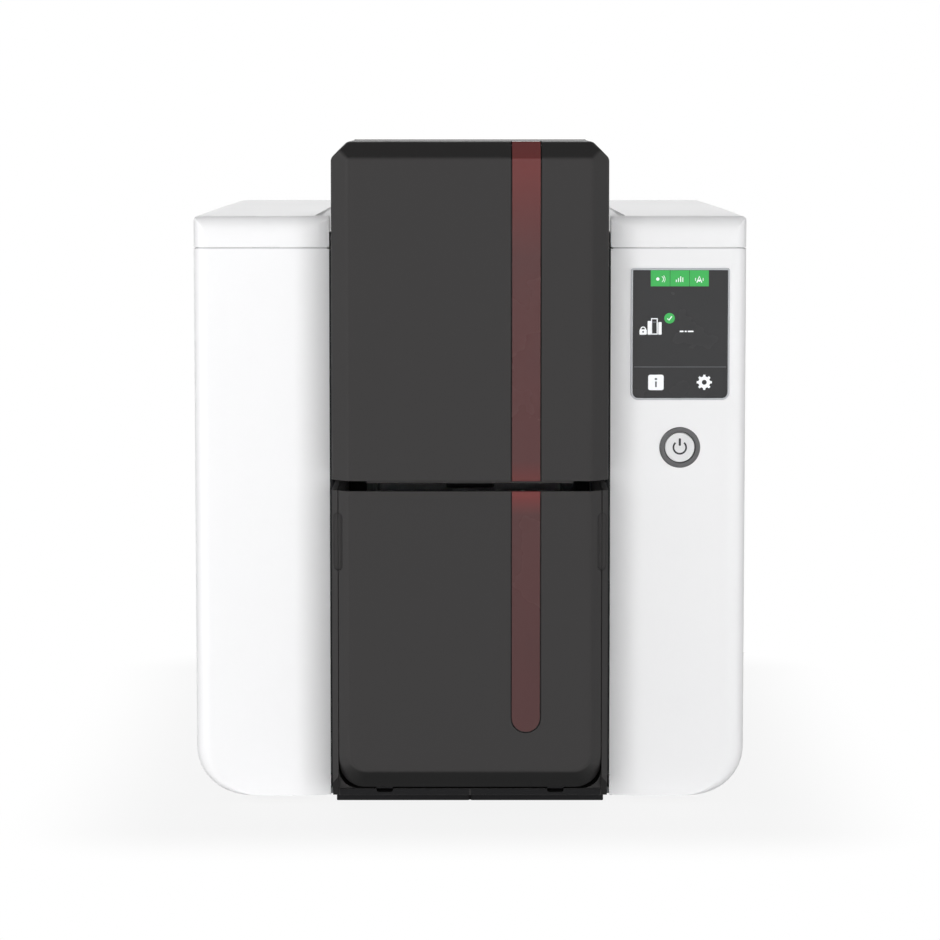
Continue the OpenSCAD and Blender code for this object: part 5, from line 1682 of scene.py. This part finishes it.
@dataclass(frozen=True)
class HopperBay:
    """The cheeks and floor around the drawer, and the base under them.

    Attributes:
        form: Sizes of the outer form.
        inner: Half width between the cheeks.
        low_z: Height of the lower side.
        floor_z: Height of the floor's upper side.
        top_z: Height of the cheeks.
        back_y: Place of the rear side.
        cheek_in: Distance from the nose to the cheeks' inner front edge.
        step: Place and height of the step in the cheeks' upper side.
        foot: Distances from the nose and heights of the cut under the cheeks' front.
        floor_in: Distance from the nose to the floor's front edge.
        corner_r: Radius of the fillets between cheeks and floor.
        corner_in: Distance from the nose to the fillets.
        mark_x: Place of the two notches in the lip.
        mark_half: Half width of a notch.
        mark_z: Lower and upper end of a notch.
        pocket_in: Distance from the nose to the rear end of the pocket behind a notch.
        lip_half: Half width of the lip before the floor.
        lip_in: Distances from the nose to the lip's front and rear side.
        slit_half: Half width of the slit in the middle of the lip.
        baffle_low: Lower corner of the right black baffle under the feeder's floor, which paints
            shade into the gap under the door.
        baffle_high: Upper corner of that baffle.
    """

    form: OuterForm = FORM
    inner: float = 47.62 * MM
    low_z: float = 10.1 * MM
    floor_z: float = 12.5 * MM
    top_z: float = 122 * MM
    back_y: float = -98.5 * MM
    cheek_in: float = 3.9 * MM
    step: Flat = (-118.7 * MM, 112 * MM)
    foot: tuple[Flat, ...] = ((2 * MM, 21 * MM), (3.5 * MM, 18.4 * MM), (10.6 * MM, 9.1 * MM),
                              (2 * MM, 9.1 * MM))
    floor_in: float = 9.3 * MM
    corner_r: float = 6.7 * MM
    corner_in: float = 10.7 * MM
    mark_x: float = 31 * MM
    mark_half: float = 3 * MM
    mark_z: Flat = (11.2 * MM, 13 * MM)
    pocket_in: float = 22 * MM
    lip_half: float = 47.3 * MM
    lip_in: Flat = (9.15 * MM, 9.6 * MM)
    slit_half: float = 0.25 * MM
    baffle_low: Point = (39.5 * MM, -99.6 * MM, 110 * MM)
    baffle_high: Point = (45.5 * MM, -98.4 * MM, 119.5 * MM)

    def build(self, bench: Bench) -> None:
        """Places the bay, its lip, the black baffles over it and the plinth."""
        log.info("building the bay and the plinth")
        cheeks, corners = [], []
        for side in (-1, 1):
            cheeks.append(self._cheek(side))
            corners.append(self._corner(side))
        bay = cheeks[0].plus(cheeks[1], self._floor(), *corners).soften(0.25 * MM, 2, 30)
        bench.place("bay", bay, DARK, "hopper_bay")
        # The lip is partly real with its notches, and its black colour over the floor's front edge
        # is painted shade under the drawer.
        bench.place("bay_lip", self._lip(), BLACK, "hopper_bay", False)
        # Painted shade: black baffles close the view through the gap under the door, where only
        # shade shows.
        right = box(self.baffle_low, self.baffle_high).soften(0.3 * MM, 2, 40)
        baffles = right.mirrored().beside(right)
        bench.place("gap_shade_baffles", baffles, BLACK, "feeder_housing", False)
        plinth = bench.copy("front_plinth").soften(0.4 * MM, 2, 32)
        bench.place("plinth", plinth, BLACK, "front_plinth")

    def _cheek(self, side: int) -> Solid:
        """Returns the cheek on one side with its step, its notch and its foot cut back."""
        nose, out = self.form.nose_y, self.form.column
        plan = [(self.inner, nose + self.cheek_in), (out, nose + self.form.bevel),
                (out, self.back_y), (self.inner, self.back_y)]
        cheek = prism([(side * x, y) for x, y in plan], Axis.Z, self.low_z, self.top_z)
        foot = [(nose + y, z) for y, z in self.foot]
        return cheek.minus(
            box((-SPAN, *self.step), (SPAN, self.back_y + OVER, self.top_z + OVER)),
            finger_notch(side),
            prism(foot, Axis.X, -SPAN, SPAN),
        )

    def _corner(self, side: int) -> Solid:
        """Returns the fillet between a cheek and the floor."""
        r, base, high = self.corner_r, self.floor_z - 0.1 * MM, self.floor_z + self.corner_r
        middle, edge = side * (self.inner - r), side * (self.inner + 0.2 * MM)
        turn = (180, 270) if side < 0 else (360, 270)
        outline = arc((middle, high), r, *turn, 10)
        outline += [(middle, base), (edge, base), (edge, high)]
        return prism(outline, Axis.Y, self.form.nose_y + self.corner_in, self.back_y)

    def _floor(self) -> Solid:
        """Returns the floor with a pocket behind each notch of the lip."""
        nose, half = self.form.nose_y, self.mark_half
        floor = box((-self.inner, nose + self.floor_in, self.low_z),
                    (self.inner, self.back_y, self.floor_z))
        pockets = [
            box((x - half, nose + 9 * MM, self.mark_z[0]),
                (x + half, nose + self.pocket_in, self.mark_z[1]))
            for x in (-self.mark_x, self.mark_x)
        ]
        return floor.minus(*pockets)

    def _lip(self) -> Solid:
        """Returns the thin lip before the floor with its two notches and its slit."""
        front, rear = (self.form.nose_y + y for y in self.lip_in)
        start = self.form.nose_y + 9 * MM
        low, high = self.mark_z
        outline = soft_rect((-self.lip_half, self.low_z + 0.1 * MM),
                            (self.lip_half, self.floor_z - 0.1 * MM), (0.2 * MM,) * 4)
        lip = prism(outline, Axis.Y, front, rear)
        for x in (-self.mark_x, self.mark_x):
            notch = soft_rect((x - self.mark_half, low), (x + self.mark_half, high),
                              (0.9 * MM, 0.9 * MM, 0.1 * MM, 0.1 * MM))
            lip.minus(prism(notch, Axis.Y, start, rear + 0.1 * MM))
        slit = box((-self.slit_half, start, 9 * MM), (self.slit_half, start + 0.5 * MM, high))
        return lip.minus(slit)


@dataclass(frozen=True)
class Controls:
    """The small screen with its frame and the round power button.

    Attributes:
        form: Sizes of the outer form.
        low: Lower corner of the screen's glass.
        high: Upper corner of the glass.
        glass_r: Radii of the glass's lower and upper corners.
        glass_y: Distances from the white front to the face and the rear of the glass.
        frame_low: Lower corner of the frame.
        frame_high: Upper corner of the frame.
        frame_radii: Radii of the frame's corners.
        frame_y: Distances from the white front to the frame's face and rear.
        middle: Middle of the power button.
        ring: Section of the button's ring: distance from the white front and radius.
        cap: Section of the button's cap.
        stem_y: Distances from the white front to the ends of the button's stem.
        stem_r: Radius of the stem.
    """

    form: OuterForm = FORM
    low: Flat = (60.3 * MM, 151.8 * MM)
    high: Flat = (95.4 * MM, 199.2 * MM)
    glass_r: Flat = (2 * MM, 0.25 * MM)
    glass_y: Flat = (-0.1 * MM, 1.6 * MM)
    frame_low: Flat = (59.55 * MM, 151.05 * MM)
    frame_high: Flat = (96.15 * MM, 199.95 * MM)
    frame_radii: tuple[float, ...] = (2.75 * MM, 2.75 * MM, 0.95 * MM, 0.95 * MM)
    frame_y: Flat = (-0.3 * MM, 3 * MM)
    middle: Flat = (77.9 * MM, 133.4 * MM)
    ring: tuple[Flat, ...] = (
        (2.6 * MM, 7.6 * MM), (-0.1 * MM, 7.6 * MM), (-0.35 * MM, 7.48 * MM),
        (-0.5 * MM, 7.2 * MM), (-0.5 * MM, 6.1 * MM), (-0.38 * MM, 5.8 * MM),
        (-0.1 * MM, 5.66 * MM), (2.6 * MM, 5.66 * MM), (2.6 * MM, 7.6 * MM),
    )
    cap: tuple[Flat, ...] = (
        (2.4 * MM, 0.01 * MM), (2.4 * MM, 5.5 * MM), (0.05 * MM, 5.5 * MM),
        (-0.12 * MM, 5.4 * MM), (-0.2 * MM, 5.15 * MM), (-0.13 * MM, 3.6 * MM),
        (-0.1 * MM, 2.0 * MM), (-0.1 * MM, 0.01 * MM),
    )
    stem_y: Flat = (2.3 * MM, 4.5 * MM)
    stem_r: float = 2.5 * MM

    def build(self, bench: Bench) -> None:
        """Places the screen, its marks and the button."""
        log.info("building the controls")
        y = self.form.white_y
        face, rear = y + self.glass_y[0], y + self.glass_y[1]
        outline = soft_rect(self.frame_low, self.frame_high, self.frame_radii)
        frame = prism(outline, Axis.Y, y + self.frame_y[0], y + self.frame_y[1])
        frame.minus(prism(self._glass(0.03 * MM), Axis.Y, y - OVER, rear))
        bench.place("screen_frame", frame.soften(0.18 * MM, 3, 40), SCREEN_FRAME,
                    "display_bezel")
        glass = prism(self._glass(0.0), Axis.Y, face, rear)
        bench.place("screen_glass", glass.soften(0.12 * MM, 2, 40), PANEL, "display_glass")
        sheet = Symbols(self.low[0], self.high[1], face)
        bench.place("status_bar", sheet.status_bar(), LIT_GREEN, "display_glass", False)
        bench.place("ready_disc", sheet.ready_disc(), LIT_GREEN, "display_glass", False)
        bench.place("white_marks", sheet.white_marks(), LIT_WHITE, "display_glass", False)
        bench.place("grey_marks", sheet.grey_marks(), DIM_LINE, "display_glass", False)
        self._button(bench)

    def _glass(self, grow: float) -> list[Flat]:
        """Returns the outline of the glass, made wider by a gap."""
        low = (self.low[0] - grow, self.low[1] - grow)
        high = (self.high[0] + grow, self.high[1] + grow)
        r, top = self.glass_r[0] + grow, self.glass_r[1]
        return soft_rect(low, high, (r, r, top, top))

    def _turned(self, section: Sequence[Flat]) -> Solid:
        """Turns a section round the button's axis."""
        y = self.form.white_y
        return revolve([(y + depth, r) for depth, r in section], Axis.Y, self.middle, 96)

    def _button(self, bench: Bench) -> None:
        """Places the button's ring, its cap with the stem and its sign."""
        y = self.form.white_y
        bench.place("power_ring", self._turned(self.ring), RING, "button_ring", smooth=50)
        stem = rod(y + self.stem_y[0], y + self.stem_y[1], Axis.Y, self.middle, self.stem_r)
        cap = self._turned(self.cap).beside(stem)
        bench.place("power_cap", cap, WHITE_CAP, "power_button", smooth=50)
        symbol = Symbols(*self.middle, y + self.glass_y[0]).power()
        bench.place("power_symbol", symbol, INK, "power_button", False)


@dataclass(frozen=True)
class Symbols:
    """Plain signs laid on a flat front, drawn in millimetres from an upper left corner.

    Attributes:
        left: Left edge of the drawing in metres.
        top: Upper edge of the drawing in metres.
        face: Place of the front on which the signs lie.

    All other lengths of a sign are in millimetres, to the right and down.
    """

    left: float
    top: float
    face: float

    def _sheet(self, outline: Sequence[Flat], rise: float = 0.05) -> Solid:
        """Lays an outline on the front, raised by a little."""
        points = [(self.left + u * MM, self.top - v * MM) for u, v in outline]
        return prism(points, Axis.Y, self.face - rise * MM, self.face + 0.02 * MM)

    def _bar(self, u: float, v: float, w: float, h: float, r: float = 0.1,
             rise: float = 0.05) -> Solid:
        """Returns a bar with round corners: its left, top, width, height and radius."""
        return self._sheet(soft_rect((u, v), (u + w, v + h), (r,) * 4, 4), rise)

    def _disc(self, u: float, v: float, r: float, rise: float = 0.05) -> Solid:
        """Returns a disc: its middle and radius."""
        return self._sheet(arc((u, v), r, 0, 350, 35), rise)

    def _stroke(self, line: Sequence[Flat], width: float, rise: float = 0.05) -> Solid:
        """Returns a line of one width.

        Args:
            line: Points of its middle.
            width: Its width.
            rise: How far it stands out.

        Returns:
            The flat line.
        """
        left, right = [], []
        for i, (u, v) in enumerate(line):
            before = line[max(i - 1, 0)]
            after = line[min(i + 1, len(line) - 1)]
            du, dv = after[0] - before[0], after[1] - before[1]
            size = math.hypot(du, dv)
            du, dv = du / size * width / 2, dv / size * width / 2
            left.append((u - dv, v + du))
            right.append((u + dv, v - du))
        return self._sheet(left + right[::-1], rise)

    def _ring(self, u: float, v: float, r: float, width: float, first: float = 0.0,
              last: float = 360.0, rise: float = 0.05) -> Solid:
        """Returns an arc of one width.

        Args:
            u: Middle, to the right.
            v: Middle, down.
            r: Radius of its middle line.
            width: Its width.
            first: Start angle in degrees.
            last: End angle in degrees.
            rise: How far it stands out.

        Returns:
            The flat arc.
        """
        outer = arc((u, v), r + width / 2, first, last, 40)
        inner = arc((u, v), r - width / 2, last, first, 40)
        return self._sheet(outer + inner, rise)

    def _joined(self, pieces: list[Solid]) -> Solid:
        """Puts the pieces of a sign into one mesh."""
        return pieces[0].beside(*pieces[1:])

    def status_bar(self) -> Solid:
        """The three green fields at the upper edge of the screen."""
        pieces = [self._bar(6.55 + 7.2 * i, 0.08, 7.06, 5.9, 0.05, 0.02) for i in range(3)]
        return self._joined(pieces)

    def ready_disc(self) -> Solid:
        """The green disc beside the machine sign."""
        return self._disc(13.55, 17.8, 1.95, 0.02)

    def white_marks(self) -> Solid:
        """The white signs: status signs, lock, machine, text bars, info and settings."""
        pieces = [
            self._disc(9.15, 3.3, 0.62),
            self._ring(10.1, 3.35, 1.15, 0.22, -60, 60),
            self._ring(10.1, 3.35, 1.75, 0.2, -50, 40),
            self._stroke([(16.0, 4.4), (16.0, 3.5)], 0.35),
            self._stroke([(16.8, 4.4), (16.8, 2.9)], 0.35),
            self._stroke([(17.6, 4.4), (17.6, 2.3)], 0.35),
            self._stroke([(18.4, 4.4), (18.4, 2.7)], 0.3),
            self._stroke([(23.6, 4.6), (24.5, 2.3), (25.4, 4.6)], 0.4),
            self._disc(24.5, 3.9, 0.4),
            self._stroke([(23.1, 2.9), (23.1, 4.0)], 0.26),
            self._stroke([(25.9, 2.9), (25.9, 4.0)], 0.26),
        ]
        pieces += [
            self._bar(2.45, 21.9, 2.7, 2.0, 0.35),
            self._ring(3.8, 21.9, 0.85, 0.38, 180, 360),
            self._bar(5.45, 18.8, 1.35, 5.1, 0.25),
            self._ring_box(6.7, 17.75, 2.5, 6.1, 0.4),
            self._bar(9.4, 19.2, 1.25, 4.7, 0.25),
            self._stroke([(12.75, 17.9), (13.35, 18.5), (14.4, 17.1)], 0.42, 0.07),
            self._bar(17.3, 22.4, 1.5, 0.55, 0.2),
            self._bar(19.15, 22.4, 0.8, 0.55, 0.2),
            self._bar(20.3, 22.4, 2.2, 0.55, 0.2),
            self._bar(5.75, 38.75, 5.75, 5.75, 0.75),
            self._gear(26.55, 41.55, 2.2, 2.85, 8),
        ]
        return self._joined(pieces)

    def grey_marks(self) -> Solid:
        """The dark parts of the signs and the line over the lower fields."""
        pieces = [
            self._bar(0.5, 35.75, 34.1, 0.22, 0.05),
            self._disc(8.62, 40.35, 0.45, 0.08),
            self._bar(8.3, 41.25, 0.65, 2.1, 0.1, 0.08),
            self._disc(3.8, 22.8, 0.35, 0.08),
            self._bar(7.35, 19.0, 1.2, 0.5, 0.1, 0.08),
        ]
        return self._joined(pieces)

    def power(self) -> Solid:
        """The usual on and off sign, with its middle in the drawing's corner."""
        pieces = [
            self._ring(0.0, 0.0, 2.36, 0.66, -48, 228, 0.06),
            self._bar(-0.42, -3.4, 0.84, 2.8, 0.3, 0.06),
        ]
        return self._joined(pieces)

    def _ring_box(self, u: float, v: float, w: float, h: float, line: float) -> Solid:
        """Returns a frame: its left, top, width, height and line width."""
        pieces = [
            self._bar(u, v, w, line, 0.05), self._bar(u, v + h - line, w, line, 0.05),
            self._bar(u, v, line, h, 0.05), self._bar(u + w - line, v, line, h, 0.05),
        ]
        return self._joined(pieces)

    def _gear(self, u: float, v: float, root: float, tip: float, teeth: int) -> Solid:
        """Returns a toothed wheel with a hole.

        Args:
            u: Middle, to the right.
            v: Middle, down.
            root: Radius between the teeth.
            tip: Radius over the teeth.
            teeth: Number of teeth.

        Returns:
            The flat wheel.
        """
        outline = []
        for i in range(teeth):
            a = 360 * i / teeth
            for turn, r in ((-13, root), (-8, tip), (8, tip), (13, root)):
                t = math.radians(a + turn)
                outline.append((u + r * math.cos(t), v + r * math.sin(t)))
        wheel = self._sheet(outline)
        points = [(self.left + (u + x) * MM, self.top - (v + y) * MM)
                  for x, y in arc((0.0, 0.0), 0.9, 0, 348, 29)]
        return wheel.minus(prism(points, Axis.Y, self.face - OVER, self.face + OVER))


ASSEMBLIES = (
    CaseShells(),
    Assembly("case", (
        ("rear_panel", WHITE, 0.3 * MM),
        ("case_screws", STEEL, 0.15 * MM),
        ("base_tray", GREY, 0.3 * MM),
        ("rubber_feet", RUBBER, 0.5 * MM),
        ("column_liner", LINER, 0.2 * MM),
    )),
    LidCover(),
    Assembly("lid", (
        ("lid_latches", BLACK, 0.3 * MM),
        ("hinge_posts", STEEL, 0.3 * MM),
        ("hinge_pins", STEEL_X, 0.2 * MM),
    )),
    FeederDoor(),
    OutputHopper(),
    HopperBay(),
    Controls(),
    Assembly("feeder", (
        ("feeder_housing", DARK, 0.3 * MM),
        ("card_pusher", BLACK, 0.4 * MM),
        ("gauge_slider", GREY, 0.3 * MM),
        ("pick_shaft", BLACK, 0.2 * MM),
        ("pick_roller", RUBBER, 0.3 * MM),
        ("control_board", LACQUER, 0.15 * MM),
    )),
    Assembly("chassis", (
        ("chassis_left_plate", STEEL, 0.2 * MM),
        ("chassis_right_plate", STEEL, 0.2 * MM),
        ("cross_bars", STEEL_X, 0.3 * MM),
        ("card_track", BLACK, 0.3 * MM),
        ("front_shaft", STEEL_X, 0.2 * MM),
        ("platen_shaft", STEEL_X, 0.2 * MM),
        ("rear_shaft", STEEL_X, 0.2 * MM),
        ("front_rollers", RUBBER, 0.3 * MM),
        ("rear_rollers", RUBBER, 0.3 * MM),
        ("platen_roller", RUBBER, 0.4 * MM),
        ("front_pinch", STEEL_X, 0.2 * MM),
        ("rear_pinch", STEEL_X, 0.2 * MM),
        ("cleaning_frame", BLACK, 0.3 * MM),
        ("cleaning_roller", BLUE_TACK, 0.3 * MM),
    )),
    Assembly("ribbon", (
        ("supply_spool", SUPPLY_WOUND, 0.2 * MM),
        ("takeup_spool", TAKEUP_WOUND, 0.15 * MM),
        ("ribbon_film", FILM, 0.05 * MM),
        ("ribbon_motor", STEEL_X, 0.3 * MM),
        ("ribbon_pinion", BRASS, 0.1 * MM),
    )),
    Assembly("print unit", (
        ("print_head", CERAMIC, 0.2 * MM),
        ("heat_sink", ALUMINIUM, 0.2 * MM),
        ("head_bracket", STEEL, 0.2 * MM),
        ("head_springs", STEEL_X, 0.02 * MM),
    )),
    Assembly("drive", (
        ("drive_motor", BLACK, 0.5 * MM),
        ("motor_pulley", BLACK, 0.2 * MM),
        ("drive_belts", RUBBER, 0.1 * MM),
    )),
    Assembly("electronics", (
        ("main_board", LACQUER, 0.15 * MM),
        ("power_inlet", BLACK, 0.3 * MM),
        ("data_ports", STEEL, 0.2 * MM),
        ("fan_housing", BLACK, 0.4 * MM),
        ("fan_rotor", BLACK, 0.2 * MM),
        ("rear_flap", GREY, 0.3 * MM),
    )),
)


# --------------------------------------------------------------------- stage


@dataclass(frozen=True)
class Lamp:
    """One large soft lamp.

    Attributes:
        name: Name of the lamp.
        place: Where it hangs, in metres.
        aim: Where it points, in metres.
        size: Width and height in metres.
        power: Power in watts.
        shiny: Whether glossy pieces mirror it.
    """

    name: str
    place: Point
    aim: Point
    size: Flat
    power: float
    shiny: bool = True

    def build(self) -> None:
        """Adds the lamp to the scene."""
        data = bpy.data.lights.new(self.name, "AREA")
        data.shape = "RECTANGLE"
        data.size, data.size_y = self.size
        data.energy = self.power
        lamp = bpy.data.objects.new(self.name, data)
        lamp.visible_camera = False
        lamp.visible_glossy = self.shiny
        bpy.context.scene.collection.objects.link(lamp)
        place = Vector(self.place)
        turn = (Vector(self.aim) - place).to_track_quat("-Z", "Y")
        lamp.matrix_world = Matrix.Translation(place) @ turn.to_matrix().to_4x4()
        log.info("lit %s", self.name)


def seen_directly(tree: bpy.types.NodeTree) -> Socket:
    """Returns a mask of the rays on which the white surroundings show."""
    path = new_node(tree, "LightPath")
    mask = path.outputs["Is Camera Ray"]
    for label in ("Is Glossy Ray", "Is Transmission Ray"):
        either = new_node(tree, "Math", operation="MAXIMUM")
        tree.links.new(mask, either.inputs[0])
        tree.links.new(path.outputs[label], either.inputs[1])
        mask = either.outputs[0]
    return mask


@dataclass(frozen=True)
class Studio:
    """The plain pale floor, the lamps and the white surroundings.

    Attributes:
        lamps: The lamps.
        sky: Light of the surroundings from above.
        horizon: Light of the surroundings around the horizon.
        mirrored_sky: Brightness overhead as glossy pieces mirror it.
        paper: Share of light that the floor gives back.
        near_white: Share of plain white in the floor at the printer's feet.
        halo: Distance in metres at which the floor is plain white.
    """

    lamps: tuple[Lamp, ...]
    sky: float = 0.3
    horizon: float = 0.3
    mirrored_sky: float = 0.45
    paper: float = 0.62
    near_white: float = 0.88
    halo: float = 0.07

    def build(self) -> None:
        """Adds the floor, the lamps and the surroundings."""
        for lamp in self.lamps:
            lamp.build()
        self._floor()
        self._world()

    def _floor(self) -> None:
        """Lays the floor, which turns plain white away from the printer."""
        bm = bmesh.new()
        bmesh.ops.create_grid(bm, x_segments=1, y_segments=1, size=12)
        mesh = bpy.data.meshes.new("floor")
        bm.to_mesh(mesh)
        bm.free()
        floor = bpy.data.objects.new("floor", mesh)
        bpy.context.scene.collection.objects.link(floor)
        material = bpy.data.materials.new("floor_paper")
        material.use_nodes = True
        tree = material.node_tree
        tree.nodes.clear()
        paper = new_node(tree, "BsdfPrincipled")
        set_inputs(
            paper, Base_Color=(self.paper, self.paper, self.paper, 1), Roughness=0.9,
            Specular_IOR_Level=0.0
        )
        white = new_node(tree, "Emission")
        set_inputs(white, Color=(1, 1, 1, 1), Strength=1.0)
        blend = new_node(tree, "MixShader")
        mask = new_node(tree, "Math", operation="MULTIPLY")
        tree.links.new(self._away(tree), mask.inputs[0])
        tree.links.new(seen_directly(tree), mask.inputs[1])
        tree.links.new(mask.outputs[0], blend.inputs[0])
        tree.links.new(paper.outputs[0], blend.inputs[1])
        tree.links.new(white.outputs[0], blend.inputs[2])
        out = new_node(tree, "OutputMaterial")
        tree.links.new(blend.outputs[0], out.inputs[0])
        mesh.materials.append(material)
        log.info("laid the floor")

    def _away(self, tree: bpy.types.NodeTree) -> Socket:
        """Returns a mask that grows with the distance from the printer's footprint."""
        place = new_node(tree, "TexCoord")
        side = new_node(tree, "VectorMath", operation="ABSOLUTE")
        past = new_node(tree, "VectorMath", operation="SUBTRACT")
        past.inputs[1].default_value = (FORM.half_w, FORM.back_y, 0.0)
        outside = new_node(tree, "VectorMath", operation="MAXIMUM")
        outside.inputs[1].default_value = (0.0, 0.0, 0.0)
        far = new_node(tree, "VectorMath", operation="LENGTH")
        reach = new_node(tree, "MapRange", interpolation_type="SMOOTHSTEP")
        set_inputs(reach, From_Max=self.halo, To_Min=self.near_white)
        tree.links.new(place.outputs["Object"], side.inputs[0])
        tree.links.new(side.outputs[0], past.inputs[0])
        tree.links.new(past.outputs[0], outside.inputs[0])
        tree.links.new(outside.outputs[0], far.inputs[0])
        tree.links.new(far.outputs["Value"], reach.inputs["Value"])
        return reach.outputs[0]

    def _world(self) -> None:
        """Sets the surroundings: plain white when seen, dimmer as light and in mirrors."""
        world = bpy.data.worlds.new("surroundings")
        bpy.context.scene.world = world
        world.use_nodes = True
        tree = world.node_tree
        tree.nodes.clear()
        place = new_node(tree, "TexCoord")
        split = new_node(tree, "SeparateXYZ")
        tree.links.new(place.outputs["Generated"], split.inputs[0])
        levels = []
        for low, high in ((self.horizon, self.sky), (1.0, self.mirrored_sky)):
            rise = new_node(tree, "MapRange", interpolation_type="SMOOTHSTEP")
            set_inputs(rise, From_Min=0.1, From_Max=0.8, To_Min=low, To_Max=high)
            tree.links.new(split.outputs["Z"], rise.inputs["Value"])
            levels.append(rise.outputs[0])
        path = new_node(tree, "LightPath")
        soft = new_node(tree, "Mix", data_type="FLOAT")
        tree.links.new(path.outputs["Is Glossy Ray"], soft.inputs["Factor"])
        tree.links.new(levels[0], soft.inputs["A"])
        tree.links.new(levels[1], soft.inputs["B"])
        clear = new_node(tree, "Math", operation="MAXIMUM")
        tree.links.new(path.outputs["Is Camera Ray"], clear.inputs[0])
        tree.links.new(path.outputs["Is Transmission Ray"], clear.inputs[1])
        strength = new_node(tree, "Mix", data_type="FLOAT")
        strength.inputs["B"].default_value = 1.0
        tree.links.new(clear.outputs[0], strength.inputs["Factor"])
        tree.links.new(soft.outputs["Result"], strength.inputs["A"])
        light = new_node(tree, "Background")
        light.inputs["Color"].default_value = (1, 1, 1, 1)
        tree.links.new(strength.outputs["Result"], light.inputs["Strength"])
        out = new_node(tree, "OutputWorld")
        tree.links.new(light.outputs[0], out.inputs[0])
        log.info("set the surroundings")


MIDDLE = (0.0, -0.1, 0.12)
STUDIO = Studio(
    lamps=(
        Lamp("front_wall", (0.08, -3.2, 0.3), MIDDLE, (1.9, 0.9), 90.0, False),
        Lamp("key_left", (-2.7, -1.6, 0.45), MIDDLE, (1.2, 1.2), 43.0),
        Lamp("side_right", (2.7, -1.6, 0.45), MIDDLE, (1.2, 1.2), 19.0),
        Lamp("rear_top", (0.0, 3.0, 1.9), MIDDLE, (2.4, 1.4), 46.0),
    ),
    sky=0.1,
    horizon=0.1,
)


@dataclass(frozen=True)
class Viewpoint:
    """The camera of the main picture.

    Attributes:
        place: Camera position in metres.
        pitch: Angle below level in degrees.
        lens: Focal length in millimetres on a 36 mm sensor.
    """

    place: Point
    pitch: float
    lens: float

    def build(self) -> None:
        """Adds the camera and makes it the scene's own."""
        data = bpy.data.cameras.new("main_view")
        data.lens = self.lens
        data.sensor_width = 36
        data.clip_end = 50
        camera = bpy.data.objects.new("main_view", data)
        bpy.context.scene.collection.objects.link(camera)
        turn = Matrix.Rotation(math.radians(90 - self.pitch), 4, "X")
        camera.matrix_world = Matrix.Translation(Vector(self.place)) @ turn
        bpy.context.scene.camera = camera
        log.info("placed the camera")


VIEW = Viewpoint((0.0, -1.540, 0.258), 5.43, 144.9)


# ---------------------------------------------------------------------- main


def main() -> None:
    """Builds the printer's looks and its studio."""
    logging.basicConfig(level=logging.INFO, format="%(message)s")
    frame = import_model()
    scene = bpy.context.scene
    scene.view_settings.view_transform = "Standard"
    bench = Bench(frame, Effects())
    for assembly in ASSEMBLIES:
        assembly.build(bench)
    left = sorted(set(bench.nodes) - bench.dressed)
    if left:
        log.warning("not dressed: %s", ", ".join(left))
    STUDIO.build()
    VIEW.build()


if __name__ == "__main__":
    main()
